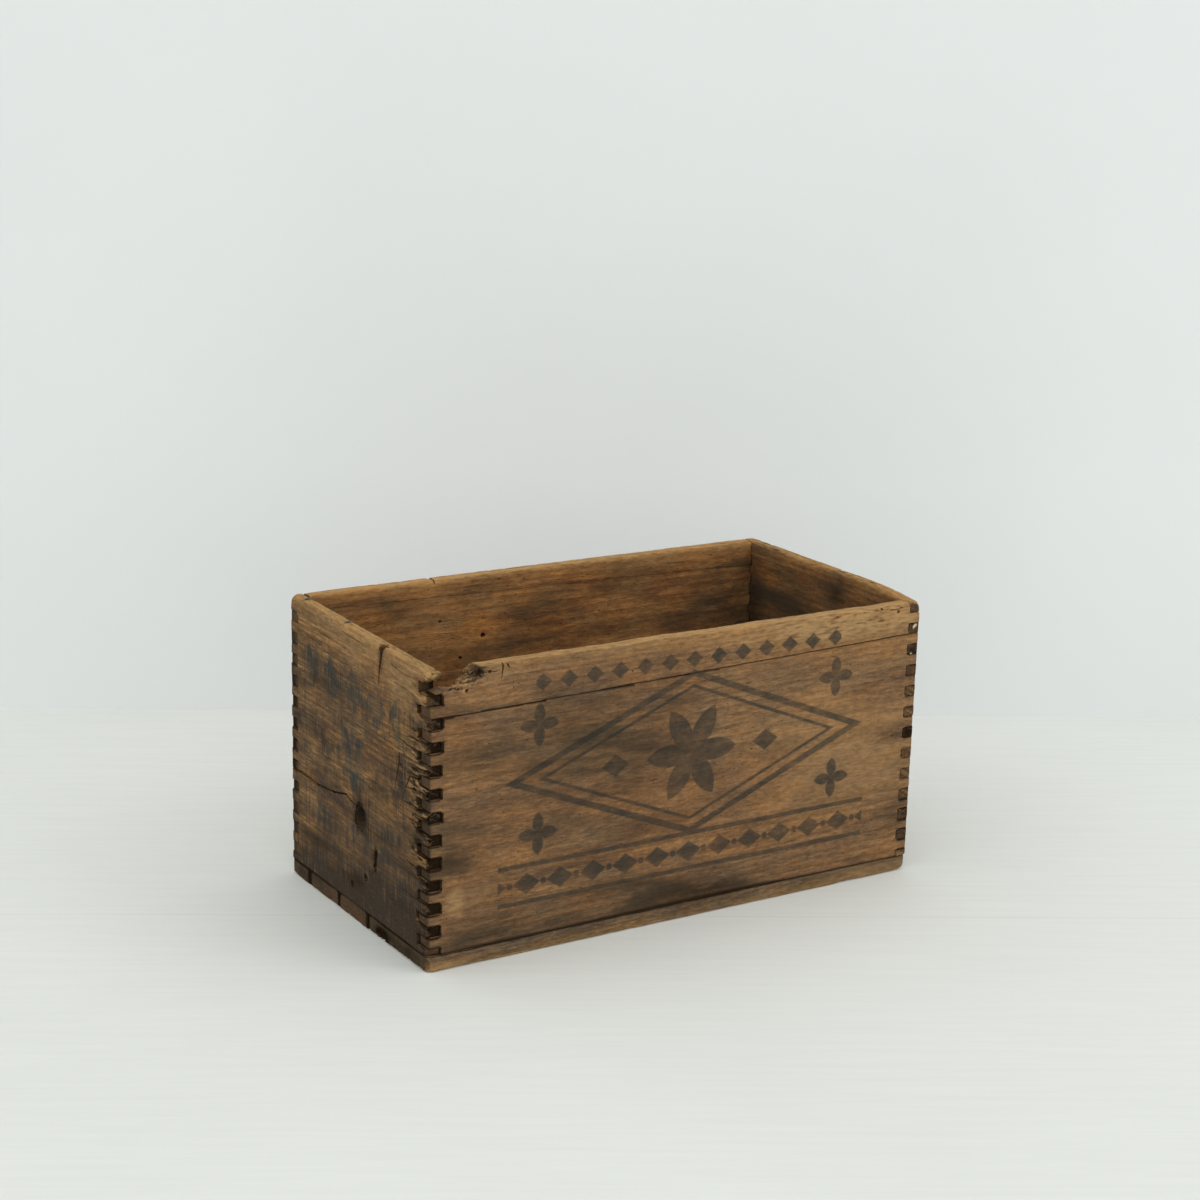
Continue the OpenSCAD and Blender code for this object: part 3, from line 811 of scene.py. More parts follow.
def over_cut(wall, first, corner, root_axis, root, least, most):
    """Deepens every second socket of a comb, each by its own amount, from the outer face inwards."""
    for finger in range(first, finger_count, 2):
        top = comb_top - (finger + random.uniform(0, 0.25)) * FINGER
        bottom = comb_top - (finger + random.uniform(0.75, 1)) * FINGER
        outer = Vector((corner[0] * (half_length + MM), corner[1] * (half_width + MM), top))
        inner = Vector((corner[0] * (half_length - SOCKET_DEPTH), corner[1] * (half_width - SOCKET_DEPTH),
                        max(bottom, floor_top)))
        half = (half_length, half_width)[root_axis]
        outer[root_axis] = corner[root_axis] * (half - root + OVERLAP)
        inner[root_axis] = corner[root_axis] * (half - root - random.uniform(least, most) * MM)
        block(wall, outer, inner)


for wall, sign in (("front", -1), ("back", 1)):
    over_cut(wall, 1, (-1, sign), 0, end_wall, 0.3, 1.3)
    over_cut(wall, 1, (1, sign), 0, end_wall, 0.2, 0.8)
over_cut("left", 0, (-1, -1), 1, side_wall, 0.6, 2.8)
over_cut("left", 0, (-1, 1), 1, side_wall, 0.3, 1.5)
for sign in (-1, 1):
    over_cut("right", 0, (1, sign), 1, side_wall, 0.2, 1)
print("sockets of", finger_count, "fingers, from", round(comb_top / MM, 1), "mm down")

# %% Torn corner
OUTER_BREAK = ((-160.5, -106, 209), (-163, -106, 203), (-165, -106, 197), (-168.5, -106, 193),
               (-178, -106, 192.6), (-190, -106, 192.6))
INNER_BREAK = ((-164.5, -91, 209), (-167, -91, 204), (-170.5, -91, 199), (-174.5, -91, 195),
               (-179, -91, 192.4), (-190, -91, 191.4))
tear("front", OUTER_BREAK, INNER_BREAK, front_rim / MM + 5)


def drawn_from(*ranges):
    """A random number from each range in turn. A plain number stays as it is."""
    return [random.uniform(*entry) if isinstance(entry, tuple) else entry for entry in ranges]


def sliver(wall, base, way, length, width):
    """Tears out a splinter whose base, way, length and width are drawn from ranges, in that order."""
    base = Vector(drawn_from(*base)) * MM
    way = drawn_from(*way)
    splinter(wall, base, way, *drawn_from(length, width))


for step in np.linspace(0.3, 0.95, 12):
    share = random.uniform(0, 1)
    point = Vector(on_path(OUTER_BREAK, step)) * (1 - share) + Vector(on_path(INNER_BREAK, step)) * share
    sliver("front", point + Vector((-2, 0, 0.5)), (1, (-0.1, 0.1), (-0.5, -0.1)), (5, 12), (0.8, 1.8))

# %% Torn edges
TORN_LOW, TORN_HIGH = (-92, 96), (-48, 158)
TORN_SLIVERS = 26
SPLIT_HEIGHTS = (163, 157, 151, 146, 139, 131, 122, 112, 101, 70, 48)
# Out of the left end's face, its near upright edge, the wood behind that edge and the near end of its rim
for _ in range(TORN_SLIVERS):
    base = on_left(*random.uniform(TORN_LOW, TORN_HIGH)) + LEFT_OUT * random.uniform(-0.1, 0.6) * MM
    way = (0.02, -math.cos(random.uniform(-0.7, 0.7)), math.sin(random.uniform(-1.0, 0.5)))
    splinter("left", base, way, *drawn_from((4, 13), (0.8, 1.9)))
for height in np.arange(20, 204, 5.2):
    base = Vector((-half_length + random.uniform(-1, 3) * MM, -half_width - 1 * MM, height * MM))
    way = drawn_from((-0.3, 0.3), 1, (-0.5, 0.5))
    splinter("left", base, way, *drawn_from((3, 8), (1.5, 3.6)))
for height in SPLIT_HEIGHTS:
    ys = np.linspace(-97, random.uniform(-82, -64), 4)
    path = [on_left(y, height + random.uniform(-1.2, 1.2)) for y in ys]
    crack("left", path, LEFT_OUT, random.uniform(0.8, 2.2) * MM, 3 * MM)
for x in np.arange(-200, -190, 1.5):
    sliver("left", (x, -106, (199, 207)), ((-0.3, 0.3), 1, (-0.4, 0.4)), (3, 7), (0.9, 1.8))
# Out of the far upright edge, then the floor's end
for height in np.arange(16, 208, 7.3):
    for wall in ("left", "back"):
        base = (-202, 105.5, (height - 3, height + 3))
        sliver(wall, base, (1, (-1, 0.2), (-0.5, 0.5)), (2, 6), (1.5, 3.6))
for y in np.arange(-98, 104, 5.5):
    sliver("floor", (-202, (y - 2, y + 2), (-1, 2)), (1, (-0.8, 0.8), (0, 0.6)), (2, 6), (1.5, 3.4))
for wall, stack in layers.items():
    print(wall, "loses", sum(len(boxes) for _, boxes in stack), "pieces in", len(stack), "layers")

# %% [markdown]
# ## Sunken finger ends, worn corners and stains
# End grain shrinks and crumbles more than the faces do, so the end of each finger sits a little below the
# face beside it, each by its own amount. At the near corner, where the box was knocked most, the fingers
# of the end board are sunk deepest and read as dark sockets. Moving only the end faces would fold the
# skin, so the last few millimetres of each finger are squeezed together instead. The right end's rim is
# level but for a dip at its front, and the box's corners are worn round, so their points are moved too.
# Stains are soft ellipses, written into an attribute that the finish reads, with flecks where wood is torn.
# The same ellipses paint shade into the near sunken sockets and the floor's gaps, and a highlight along the
# floor's lower edge at the near corner.

# %% Finger ends
SQUEEZE = 6 * MM
MOST_FINGERS = 40


def sink_finger_ends(points, axis, half, side, shallow, deep, seed):
    """Moves the finger ends on one side of a board inwards, each by its own depth."""
    depths = np.random.default_rng(seed).uniform(shallow, deep, MOST_FINGERS)
    finger = np.floor((comb_top - points[:, 2]) / FINGER).astype(int)
    depth = np.where((finger >= 0) & (points[:, 2] > floor_top), depths[finger], 0)
    from_end = half - side * points[:, axis]
    near = from_end < SQUEEZE
    squeezed = depth + from_end * (SQUEEZE - depth) / SQUEEZE
    points[near, axis] = side * (half - squeezed[near])

# %% The right rim and the corners
DIP_START = -50 * MM
DIP_LONG = 58 * MM
DIP_BOW = 1.2
LIFT_FROM = 150 * MM
FADE_STEEPNESS = 3


def dip_rim(points):
    """Makes a straight sloping rim level, with a dip to the front rim at its front end."""
    fall = back_rim - front_rim
    straight = back_rim - fall * (half_width - points[:, 1]) / (2 * half_width)
    dipped = back_rim - fall * np.clip((DIP_START - points[:, 1]) / DIP_LONG, 0, 1) ** DIP_BOW
    share = np.clip((points[:, 2] - LIFT_FROM) / (straight - LIFT_FROM), 0, 1)
    points[:, 2] += (dipped - straight) * share


def rounded_corner(points, signs, height, radius, fade):
    """Points with one corner of the box rounded, less and less over a distance from it."""
    corner = np.array((signs[0] * half_length, signs[1] * half_width, height))
    near = np.clip(1 - np.linalg.norm(points - corner, axis=1, keepdims=True) / fade, 0, 1)
    radii = radius * near
    away = np.maximum((points - corner) * signs + radii, 0) * np.abs(signs)
    reach = np.linalg.norm(away, axis=1, keepdims=True)
    excess = np.maximum(reach - radii, 0) / np.maximum(reach, 1e-9)
    return points - away * excess * signs * np.minimum(FADE_STEEPNESS * near, 1)

# %% Stains and flecks
FLECK_LONG = 5 * MM
FLECK_WIDE = 1.2 * MM
FLECK_CELLS = 509
FLECK_SLANT = 0.6
FLECK_SPREAD = 1.3


def stain_and_light_level(points, spots):
    """How dirty or clean each point is, painted shade and painted highlight included: soft ellipses, given
    as centre, radii and strength in millimetres.
    """
    level = np.zeros(len(points))
    for centre, radii, strength in spots:
        away = (points / MM - centre) / radii
        level += strength * np.exp(-(away ** 2).sum(1))
    return level


def fleck_level(points, spots, along, seed):
    """Light and dark flecks where the wood was torn, long along the grain, as random steps in the stain."""
    steps = np.random.default_rng(seed).normal(0, FLECK_SPREAD, (FLECK_CELLS, FLECK_CELLS))
    across = points[:, 2] + FLECK_SLANT * points[:, 1 - along]
    row = np.floor(across / FLECK_WIDE).astype(int) % FLECK_CELLS
    column = points[:, along] / FLECK_LONG
    first = np.floor(column).astype(int)
    share = column - first
    fleck = (steps[row, first % FLECK_CELLS] * (1 - share)
             + steps[row, (first + 1) % FLECK_CELLS] * share)
    return fleck * stain_and_light_level(points, spots)

# %% [markdown]
# ## The boards
# One row of settings for each board says what differs from the usual: its finish, the size of its skin
# squares, how hard it was rubbed, how far its rim and its finger ends sank and where it was hit. The squares
# are about a millimetre, fine enough for a finger of eight millimetres, and a little larger where a board is
# big or hidden. Each finished board replaces its plain solid.

# %% Board settings
RIMS = {"front": front_rim, "back": back_rim, "left": back_rim, "right": back_rim, "floor": 0.0}
NEAR_CORNER = (-half_length, -half_width, 125 * MM)
BROKEN_CORNER = (-182 * MM, -half_width + 6 * MM, 201 * MM)
NEAR_FLOOR_CORNER = (-half_length, -half_width, 0)

# Rub and edge dirt with its painted shade are shares, hit is a place, and the rest is in millimetres. The
# ends give the least and the greatest depth that the fingers have sunk at each end of a board
USUAL = dict(cell=1.5, rub=0.4, dent=0.3, rim=0, chip=0, dirt=1, hit=(0, 0, -1), reach=70, ends=())
BOARDS = {
    "front_lower_board": dict(finish="front", cell=1.43, rub=0.25, dent=0.2, dirt=1.4,
                              ends=((0.6, 2.4), (0.05, 0.7))),
    "front_upper_board": dict(finish="front", cell=0.95, dent=0.45, rim=1.2, chip=1.8, hit=BROKEN_CORNER,
                              reach=30, ends=((0.4, 1.6), (0.05, 0.5))),
    "back_lower_board": dict(finish="back", rub=0.25, dent=0.2, dirt=0.3, ends=((0.1, 1.3), (0.1, 0.7))),
    "back_upper_board": dict(finish="back", cell=1.1, rub=0.25, rim=0.5, chip=1.7, dirt=0.3,
                             ends=((0.1, 0.8), (0.1, 0.7))),
    "left_end_board": dict(finish="left", cell=1.15, rub=0.22, dent=0.5, rim=0.3, chip=1.8, hit=NEAR_CORNER,
                           reach=60, ends=((1.2, 3.0), (0.1, 0.5))),
    "right_end_board": dict(finish="right", cell=1.25, rub=0.2, rim=0.3, chip=1.1, dirt=1.3,
                            ends=((0.1, 0.6), (0.1, 0.9))),
    **{"floor_board_" + row: dict(finish="floor", rub=0.5) for row in ("rear", "second", "third")},
    "floor_board_front": dict(finish="floor", cell=1.3, rub=1.1, dent=0.6, hit=NEAR_FLOOR_CORNER, reach=60),
}

# Corners that are worn round: outward signs, height, radius and how far the rounding reaches
WORN_CORNERS = (
    ((-1, -1, 0), 0, 9, 42), ((-1, -1, -1), 0, 4, 30), ((1, -1, -1), 0, 6, 30),
    ((1, -1, 1), front_rim, 6, 24), ((1, 1, 1), back_rim, 6, 24), ((-1, 1, 1), back_rim, 6, 22),
    ((-1, -1, 1), front_rim, 4, 14), ((-1, 1, -1), 0, 4, 20),
)

# %% Where the walls are stained or clean, with painted shade and a painted highlight
# Centre and radii in millimetres, then a strength. A strength below zero is cleaner wood, and in one marked
# place a painted highlight
RIGHT_END_GRAIN = (0.3, 1.0, 0.1, -0.1, -0.4, 1.8, -0.15, -0.1, -0.2, 0.6, 0.7, -0.4)
right_ends = [((196, -105, (comb_top - FINGER * (2 * k + 1.5)) / MM), (7, 3, 3.6), level)
              for k, level in enumerate(RIGHT_END_GRAIN)]
# Dirt and painted shade in the gaps between the floor boards, at their left ends
gap_dirt_and_shade = [((-198, y, 6), (8, 2.4, 14), 2.2) for y in FLOOR_JOINTS]
STAINS_AND_PAINTED_LIGHT = {
    "front": (
        ((-17, -105, 21), (95, 6, 16), 0.55), ((40, -105, 17), (60, 6, 11), 0.5),
        ((0, -105, 12.5), (230, 4, 1.4), 0.8), ((140, -105, 30), (60, 6, 18), 0.2),
        ((-90, -105, 28), (100, 6, 14), 0.15), ((190, -105, 108), (22, 8, 5), 0.9),
        ((182, -105, 47), (26, 8, 14), 0.65), ((-186, -105, 76), (24, 8, 14), 0.75),
        ((-160, -105, 18), (40, 6, 9), 0.6), ((168, -105, 146), (24, 8, 8), 0.5),
        ((-172, -105, 147), (34, 8, 13), 0.38), ((-180, -105, 178), (26, 8, 6), 0.4),
        ((-80, -105, 118), (110, 6, 90), 0.36), ((-70, -105, 145), (60, 6, 26), 0.35),
        ((-201, -97, 90), (3, 10, 90), 0.75), ((-163, -104, 201), (4, 5, 4), 1.4),
        # The last spot on this line is painted shade beside the near sunken sockets
        ((-172, -98, 198), (9, 8, 6), -0.35), ((-194, -95, 95), (4, 4, 110), 1.2),
        ((-180, -105, 47), (8, 6, 14), -0.85), ((150, -105, 197), (75, 6, 10), -1.15),
        ((10, -105, 199), (90, 6, 6), -0.3), ((170, -105, 90), (50, 6, 40), -0.3),
        ((110, -105, 110), (90, 6, 90), -0.35), ((-150, -105, 196), (40, 6, 9), -0.3),
        ((30, -97, 207.5), (200, 10, 2.2), -0.7)),
    "left": (
        ((-201, 57, 40), (8, 44, 20), 0.55), ((-201, 52, 152), (8, 36, 18), 0.5),
        ((-201, -30, 92), (8, 50, 34), 0.4), ((-201, -80, 60), (8, 20, 50), 0.3),
        ((-201, 103, 100), (6, 3, 90), 0.4), ((-201, 0, 186), (8, 22, 9), -0.35),
        # Dirt in the end grain and painted shade in the sunken sockets of the near corner, lifted at the
        # lowest finger; the first spot on the next line adds painted shade beside them
        ((-194, -104, 100), (6, 6, 130), 2), ((-194, -105, 15), (7, 5, 5), -1.6),
        ((-193, -91, 95), (4, 4, 100), 1.2), ((-195, -97, 194.5), (9, 8, 3.5), 2.2),
        ((-195, -7.5, 79), (7, 7.5, 9.5), 2.2), ((-201, 0, 203), (8, 110, 13), -0.42),
        ((-201, -70, 180), (8, 34, 22), -0.42), ((-201, -88, 100), (6, 6, 38), 0.45),
        ((-201, -38, 202), (5, 3, 9), 1.2), ((-201, 68, 66), (8, 13, 6), -0.5),
        ((-201, 11, 63), (8, 10, 4), -0.5), ((-201, -30, 56), (5, 5, 10), 0.8),
        ((-201, -5, 31), (5, 14, 9), 0.5), ((-201, -37, 110), (8, 20, 15), 0.3),
        ((-195, -104, 205), (10, 9, 4), -1.2), ((-194, -105, 157), (1.2, 3, 1), -6),
        ((-189.6, -105, 154), (1.2, 3, 1.3), -7)),
    "back": (
        ((-105, 92, 186), (40, 8, 34), -0.4), ((110, 92, 203), (65, 8, 7), -0.5),
        ((-132, 92, 196), (22, 6, 9), 0.9), ((20, 92, 182), (30, 6, 13), 0.55),
        ((0, 105, 19), (170, 6, 11), 0.5), ((-120, 105, 66), (54, 6, 15), 0.4),
        ((80, 105, 150), (60, 6, 13), 0.35), ((-30, 105, 196), (140, 6, 10), -0.4),
        ((-40, 92, 152), (34, 6, 9), 0.6), ((80, 92, 186), (56, 8, 11), -0.3),
        # The first spot on this line darkens the back's inner face towards the inner right corner
        ((165, 92, 150), (50, 8, 80), 0.7), ((-201, 100, 105), (5, 8, 120), 1.2),
        ((0, 98, 209), (210, 10, 2.5), -0.35)),
    "right": (
        ((201, 10, 20), (6, 90, 12), 0.5), ((201, 45, 118), (6, 44, 13), 0.35),
        ((201, -30, 194), (6, 60, 12), -0.4), ((190, -20, 192), (8, 16, 12), 0.6),
        # These two spots darken the right end's inner face, most towards the back
        ((190, 30, 150), (8, 80, 60), 0.85), ((190, 88, 120), (6, 14, 90), 0.5),
        ((196.8, -105, 188.6), (1.2, 3, 0.8), -5), ((195.3, -105, 187.4), (0.8, 3, 1.1), -5),
        ((194, -105, 167), (0.9, 3, 0.7), -5), *right_ends),
    "floor": (
        ((-201, 90, 6), (4, 18, 9), 0.8), ((-201, 50, 6), (4, 20, 9), 0.45),
        ((-201, 4, 5), (4, 22, 7), -0.1), ((-201, -50, 6), (4, 28, 9), 0.65),
        # The second spot on this line is wear and a painted highlight along the lower edge at the near
        # corner
        ((-201, -84, 6), (3, 22, 9), 0.75), ((-188, -105, 2.5), (22, 8, 3), -0.9),
        ((160, -105, 6), (70, 8, 8), -0.4), ((30, -105, 6), (32, 8, 8), 0.35),
        ((-200, -40, 4), (5, 9, 5), 1.5), *gap_dirt_and_shade),
}

# %% Where the wood is torn
TORN = {
    "front": (
        ((-173, -100, 197), (14, 10, 8), 0.8), ((150, -105, 199), (70, 5, 8), 0.8),
        ((0, -98, 206.5), (230, 12, 3), 0.3)),
    "left": (
        ((-196, -102, 204), (8, 6, 6), 0.6), ((-194, -104, 120), (6, 5, 90), 0.6),
        ((-201, -92, 128), (6, 16, 34), 0.6), ((-201, -98, 60), (6, 10, 60), 0.6),
        ((-201, -95, 185), (6, 10, 16), 0.4), ((-196, 0, 208), (9, 120, 3), 0.3)),
    "back": (((0, 98, 209.5), (230, 12, 3), 0.35),),
    "right": (((196, 0, 209), (9, 120, 3), 0.3), ((195, -105, 105), (8, 3, 120), 0.35)),
    "floor": (((0, 0, 0), (230, 120, 3), 0.2),),
}
for wall in STAINS_AND_PAINTED_LIGHT:
    print(wall, "has", len(STAINS_AND_PAINTED_LIGHT[wall]), "stains and", len(TORN[wall]), "torn places")

# %% From solid to skin
WELD = 0.001 * MM
SKIN_FIT = 0.99


def merged_copy(node):
    """A copy of a solid's mesh with its loose triangles joined."""
    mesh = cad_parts[node].data.copy()
    work = bmesh.new()
    work.from_mesh(mesh)
    bmesh.ops.remove_doubles(work, verts=work.verts, dist=WELD)
    work.to_mesh(mesh)
    work.free()
    mesh.materials.clear()
    return mesh


def add_skin(piece, node, cell):
    """Rebuilds a piece as small squares of about one size, which keep its sharp edges."""
    low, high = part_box(node)
    squares = max(high - low) / cell
    skin = piece.modifiers.new("skin", "REMESH")
    skin.mode = "SHARP"
    skin.octree_depth = math.ceil(math.log2(squares / SKIN_FIT))
    skin.scale = squares / 2 ** skin.octree_depth
    skin.use_remove_disconnected = False


def add_cuts(piece, wall):
    """Takes the wall's cracks and holes away from a piece. Returns the knives, to be removed later."""
    knives = []
    for layer, _ in layers[wall]:
        mesh = bpy.data.meshes.new("knife")
        layer.to_mesh(mesh)
        knives.append(in_scene("knife", mesh))
        cut = piece.modifiers.new("cracks", "BOOLEAN")
        cut.operation = "DIFFERENCE"
        cut.solver = "MANIFOLD"
        cut.object = knives[-1]
    return knives

# %% From trees to plain pieces
def add_tree(piece, tree, values):
    """Puts a tree on a piece and sets the tree's named inputs."""
    modifier = piece.modifiers.new(tree.name, "NODES")
    modifier.node_group = tree
    for item in tree.interface.items_tree:
        if item.in_out == "INPUT" and item.name in values:
            modifier[item.identifier] = values[item.name]


def made_real(piece):
    """Turns a piece and its modifiers into a plain mesh."""
    evaluated = piece.evaluated_get(bpy.context.evaluated_depsgraph_get())
    mesh = bpy.data.meshes.new_from_object(evaluated)
    piece.modifiers.clear()
    piece.data = mesh
    return mesh


def close_skin(mesh):
    """Takes out points that only two edges meet at, because the two faces there would fold into one."""
    work = bmesh.new()
    work.from_mesh(mesh)
    while spare := [vert for vert in work.verts if len(vert.link_edges) == 2]:
        bmesh.ops.dissolve_verts(work, verts=spare)
    work.to_mesh(mesh)
    work.free()


def stand_in(piece, node):
    """Puts a finished piece in place of its solid."""
    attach(piece, "root")
    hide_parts(node)

# %% Make the boards
GRAIN_AXIS = {"front": 0, "back": 0, "left": 1, "right": 1, "floor": 0}
PATCH_SIZE = 22 * MM
DENT_SIZE = 9 * MM
CHIP_SIZE = 6 * MM
CRISP_EDGE = math.radians(50)
CLEANEST = -1.2


def shaped(points, node, wall, number, ends):
    """Points of a board with sunken finger ends and worn corners, inside the solid's own box."""
    axis = GRAIN_AXIS[wall]
    for k, (shallow, deep) in enumerate(ends):
        half = (half_length, half_width)[axis]
        sink_finger_ends(points, axis, half, (-1, 1)[k], shallow * MM, deep * MM, number * 10 + k)
    if wall == "right":
        dip_rim(points)
    for signs, height, radius, fade in WORN_CORNERS:
        points = rounded_corner(points, np.array(signs), height, radius * MM, fade * MM)
    return np.clip(points, *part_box(node))


def stain_and_light_at(points, wall, number):
    """The stain at each point, painted shade and highlight included. Flecks stop at the cleanest level,
    which only bleached spots pass.
    """
    soft = stain_and_light_level(points, STAINS_AND_PAINTED_LIGHT[wall])
    level = soft + fleck_level(points, TORN[wall], GRAIN_AXIS[wall], number)
    return np.maximum(level, np.minimum(soft, CLEANEST))


def make_board(node, number, finish, cell, rub, dent, rim, chip, dirt, hit, reach, ends):
    """Wears one board and puts it in place of its solid."""
    piece = in_scene(node + "_worn", merged_copy(node))
    add_skin(piece, node, cell * MM)
    knives = add_cuts(piece, finish)
    add_tree(piece, worn_board, {
        "Rub": rub, "Patch size": PATCH_SIZE, "Dent depth": dent * MM, "Dent size": DENT_SIZE,
        "Rim drop": rim * MM, "Chip depth": chip * MM, "Chip size": CHIP_SIZE, "Rim height": RIMS[finish],
        "Edge dirt": float(dirt), "Hard spot": hit, "Hard reach": reach * MM, "Seed": float(number),
        "Finish": finishes[finish]})
    mesh = made_real(piece)
    close_skin(mesh)
    for knife in knives:
        bpy.data.objects.remove(knife)
    points = np.empty(len(mesh.vertices) * 3, np.float32)
    mesh.vertices.foreach_get("co", points)
    points = shaped(points.reshape(-1, 3).astype(float), node, finish, number, ends)
    mesh.vertices.foreach_set("co", points.astype(np.float32).ravel())
    stain = mesh.attributes.new("stain", "FLOAT", "POINT")
    stain.data.foreach_set("value", stain_and_light_at(points, finish, number).astype(np.float32))
    mesh.shade_smooth()
    mesh.set_sharp_from_angle(angle=CRISP_EDGE)
    mesh.update()
    stand_in(piece, node)
    mesh.calc_loop_triangles()
    print(piece.name, len(mesh.loop_triangles), "triangles")


for number, (node, settings) in enumerate(BOARDS.items()):
    make_board(node, number, **{**USUAL, **settings})

# %% [markdown]
# ## Floor nails
# The floor is held by round wire nails, driven from below until their heads sit just under the wood. They
# are all alike, so one nail is made in a tree and set on a point for each place. Its head, shank and point
# are united into one closed shape. The places are read from the solids, because every nail there is a
# separate piece. Each nail is turned by its own angle, and its head is dented a little by the hammer.

# %% Rusted steel
RUST_RELIEF = 0.15 * MM


def rusted(name, clean, rust, share):
    """Old nail steel. Rust takes the shine away in spots and leaves grey metal between them."""
    material, t, shader = new_finish(name)
    place = add(t, "VectorMath.SCALE", add(t, "TexCoord", out="Object"), {"Scale": 1 / MM})
    spots = add(t, "TexNoise", {"Vector": place, "Scale": 0.9, "Detail": 5, "Roughness": 0.7})
    rusty = add(t, "MapRange", spots, 0.6 - share * 0.4, 0.75 - share * 0.4, 0, 1)
    tone = add(t, "Mix", {"Factor": rusty, "A": linear(clean), "B": linear(rust)}, data_type="RGBA")
    link(shader, {"Base Color": tone, "Metallic": add(t, "MapRange", rusty, 0, 1, 0.85, 0.05),
                  "Roughness": add(t, "MapRange", rusty, 0, 1, 0.45, 0.85),
                  "Normal": add(t, "Bump", {"Strength": 0.5, "Distance": RUST_RELIEF, "Height": spots})})
    print(name, len(t.nodes), "nodes")
    return material


wire_nail = rusted("rusted wire nail", "#6a625a", "#4a2f1d", 0.6)
lid_nail = rusted("flattened nail", "#7d756a", "#3a2c20", 0.45)

# %% The wire nail tree
NAIL_WELD = 0.02 * MM
BLOW_DEPTH = 0.25 * MM
wire_nails, given, result = new_group(
    "wire nails", "GeometryNodeTree",
    {"Geometry": "Places", "Float": "Head, Head height, Shank, Length, Point", "Int": "Seed",
     "Material": "Finish"},
    {"Geometry": "Nails"})
t = wire_nails
shank_start = add(t, "Math.MULTIPLY", given["Head height"], 0.5)
shank_end = add(t, "Math.SUBTRACT", given["Length"], given["Point"])
shank_length = add(t, "Math.SUBTRACT", shank_end, shank_start)
head = add(t, "GeometryNodeMeshCylinder", {"Vertices": 24, "Side Segments": 2, "Fill Segments": 3,
                                           "Radius": given["Head"], "Depth": given["Head height"]},
           fill_type="TRIANGLE_FAN")
shank = add(t, "GeometryNodeMeshCylinder", {"Vertices": 12, "Radius": given["Shank"], "Depth": shank_length})
point = add(t, "GeometryNodeMeshCone", {"Vertices": 12, "Radius Top": 0, "Radius Bottom": given["Shank"],
                                        "Depth": given["Point"]})
shank_middle = add(t, "Math.MULTIPLY_ADD", shank_length, 0.5, shank_start)
union = add(t, "GeometryNodeMeshBoolean.UNION", solver="MANIFOLD").node
for part, lift in ((head, shank_start), (shank, shank_middle), (point, shank_end)):
    raised = add(t, "CombineXYZ", 0, 0, lift)
    link(union, {"Mesh 2": add(t, "GeometryNodeTransform", {"Geometry": part, "Translation": raised})})
nail = add(t, "GeometryNodeMergeByDistance", {"Geometry": union.outputs["Mesh"], "Distance": NAIL_WELD})
spin = add(t, "FunctionNodeRandomValue", {"Max": (0, 0, 6.28), "Seed": given["Seed"]},
           data_type="FLOAT_VECTOR")
nails = add(t, "GeometryNodeInstanceOnPoints", {"Points": given["Places"], "Instance": nail,
                                                "Rotation": spin})
real = add(t, "GeometryNodeRealizeInstances", {"Geometry": nails})
place = add(t, "GeometryNodeInputPosition")
blows = add(t, "TexNoise", {"Vector": place, "Scale": 700, "Detail": 2})
struck = add(t, "MapRange", blows, 0.4, 0.7, 0, BLOW_DEPTH)
head_only = add(t, "MapRange", add(t, "SeparateXYZ", place, out="Z"), 0.5 * MM, 1 * MM, 1, 0)
push = add(t, "CombineXYZ", 0, 0, add(t, "Math.MULTIPLY", struck, head_only))
dented = add(t, "GeometryNodeSetPosition", {"Geometry": real, "Offset": push})
link(result, {"Nails": add(t, "GeometryNodeSetMaterial", {"Geometry": dented, "Material": given["Finish"]})})
print("wire nail tree:", len(t.nodes), "nodes")

# %% Drive the floor nails
HEAD_WIDE = 5.4 * MM
HEAD_HIGH = 1.2 * MM
SHANK_WIDE = 2.4 * MM
POINT_LONG = 4 * MM


def nail_places(node):
    """The centre of each separate nail's head in a node, at its lowest, and the length of a nail."""
    low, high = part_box(node)
    rings = []
    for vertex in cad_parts[node].data.vertices:
        flat = Vector(vertex.co.xy)
        if vertex.co.z > low.z + 0.1 * MM:
            continue
        ring = next((ring for ring in rings if (ring[0] - flat).length < HEAD_WIDE * 1.2), None)
        if ring is None:
            rings.append([flat])
        else:
            ring.append(flat)
    middles = []
    for ring in rings:
        xs, ys = [p.x for p in ring], [p.y for p in ring]
        middles.append(((min(xs) + max(xs)) / 2, (min(ys) + max(ys)) / 2, low.z))
    return middles, high.z - low.z


for number, side in enumerate(("left", "right", "front", "back")):
    node = "floor_nails_" + side
    places, nail_length = nail_places(node)
    mesh = bpy.data.meshes.new(node)
    mesh.from_pydata(places, [], [])
    piece = in_scene(node + "_driven", mesh)
    add_tree(piece, wire_nails, {
        "Head": HEAD_WIDE / 2, "Head height": HEAD_HIGH, "Shank": SHANK_WIDE / 2, "Length": nail_length,
        "Point": POINT_LONG, "Seed": number, "Finish": wire_nail})
    made_real(piece)
    stand_in(piece, node)
    print(piece.name, len(places), "nails of", round(nail_length / MM, 1), "mm")

# %% [markdown]
# ## The bent lid nails
# Two nails that once held the lid were left in the left rim and hammered over. Each is a thin rod that
# comes up out of the rim, bends, and lies flat along the wood towards the inside, flattened and thinner
# at its end. It is swept by hand: an oval ring of points is set at each step of the path and the rings are
# joined, as those of a crack are.

# %% Bend the lid nails
ROD = 2 * MM
BEND = 1.6 * MM
FLAT_HIGH = 1.1 * MM
STRAY = 0.5 * MM
BEND_STEPS = 7
FLAT_STEPS = 6
RING_POINTS = 10
ALONG_RIM = Vector((0, 1, 0))


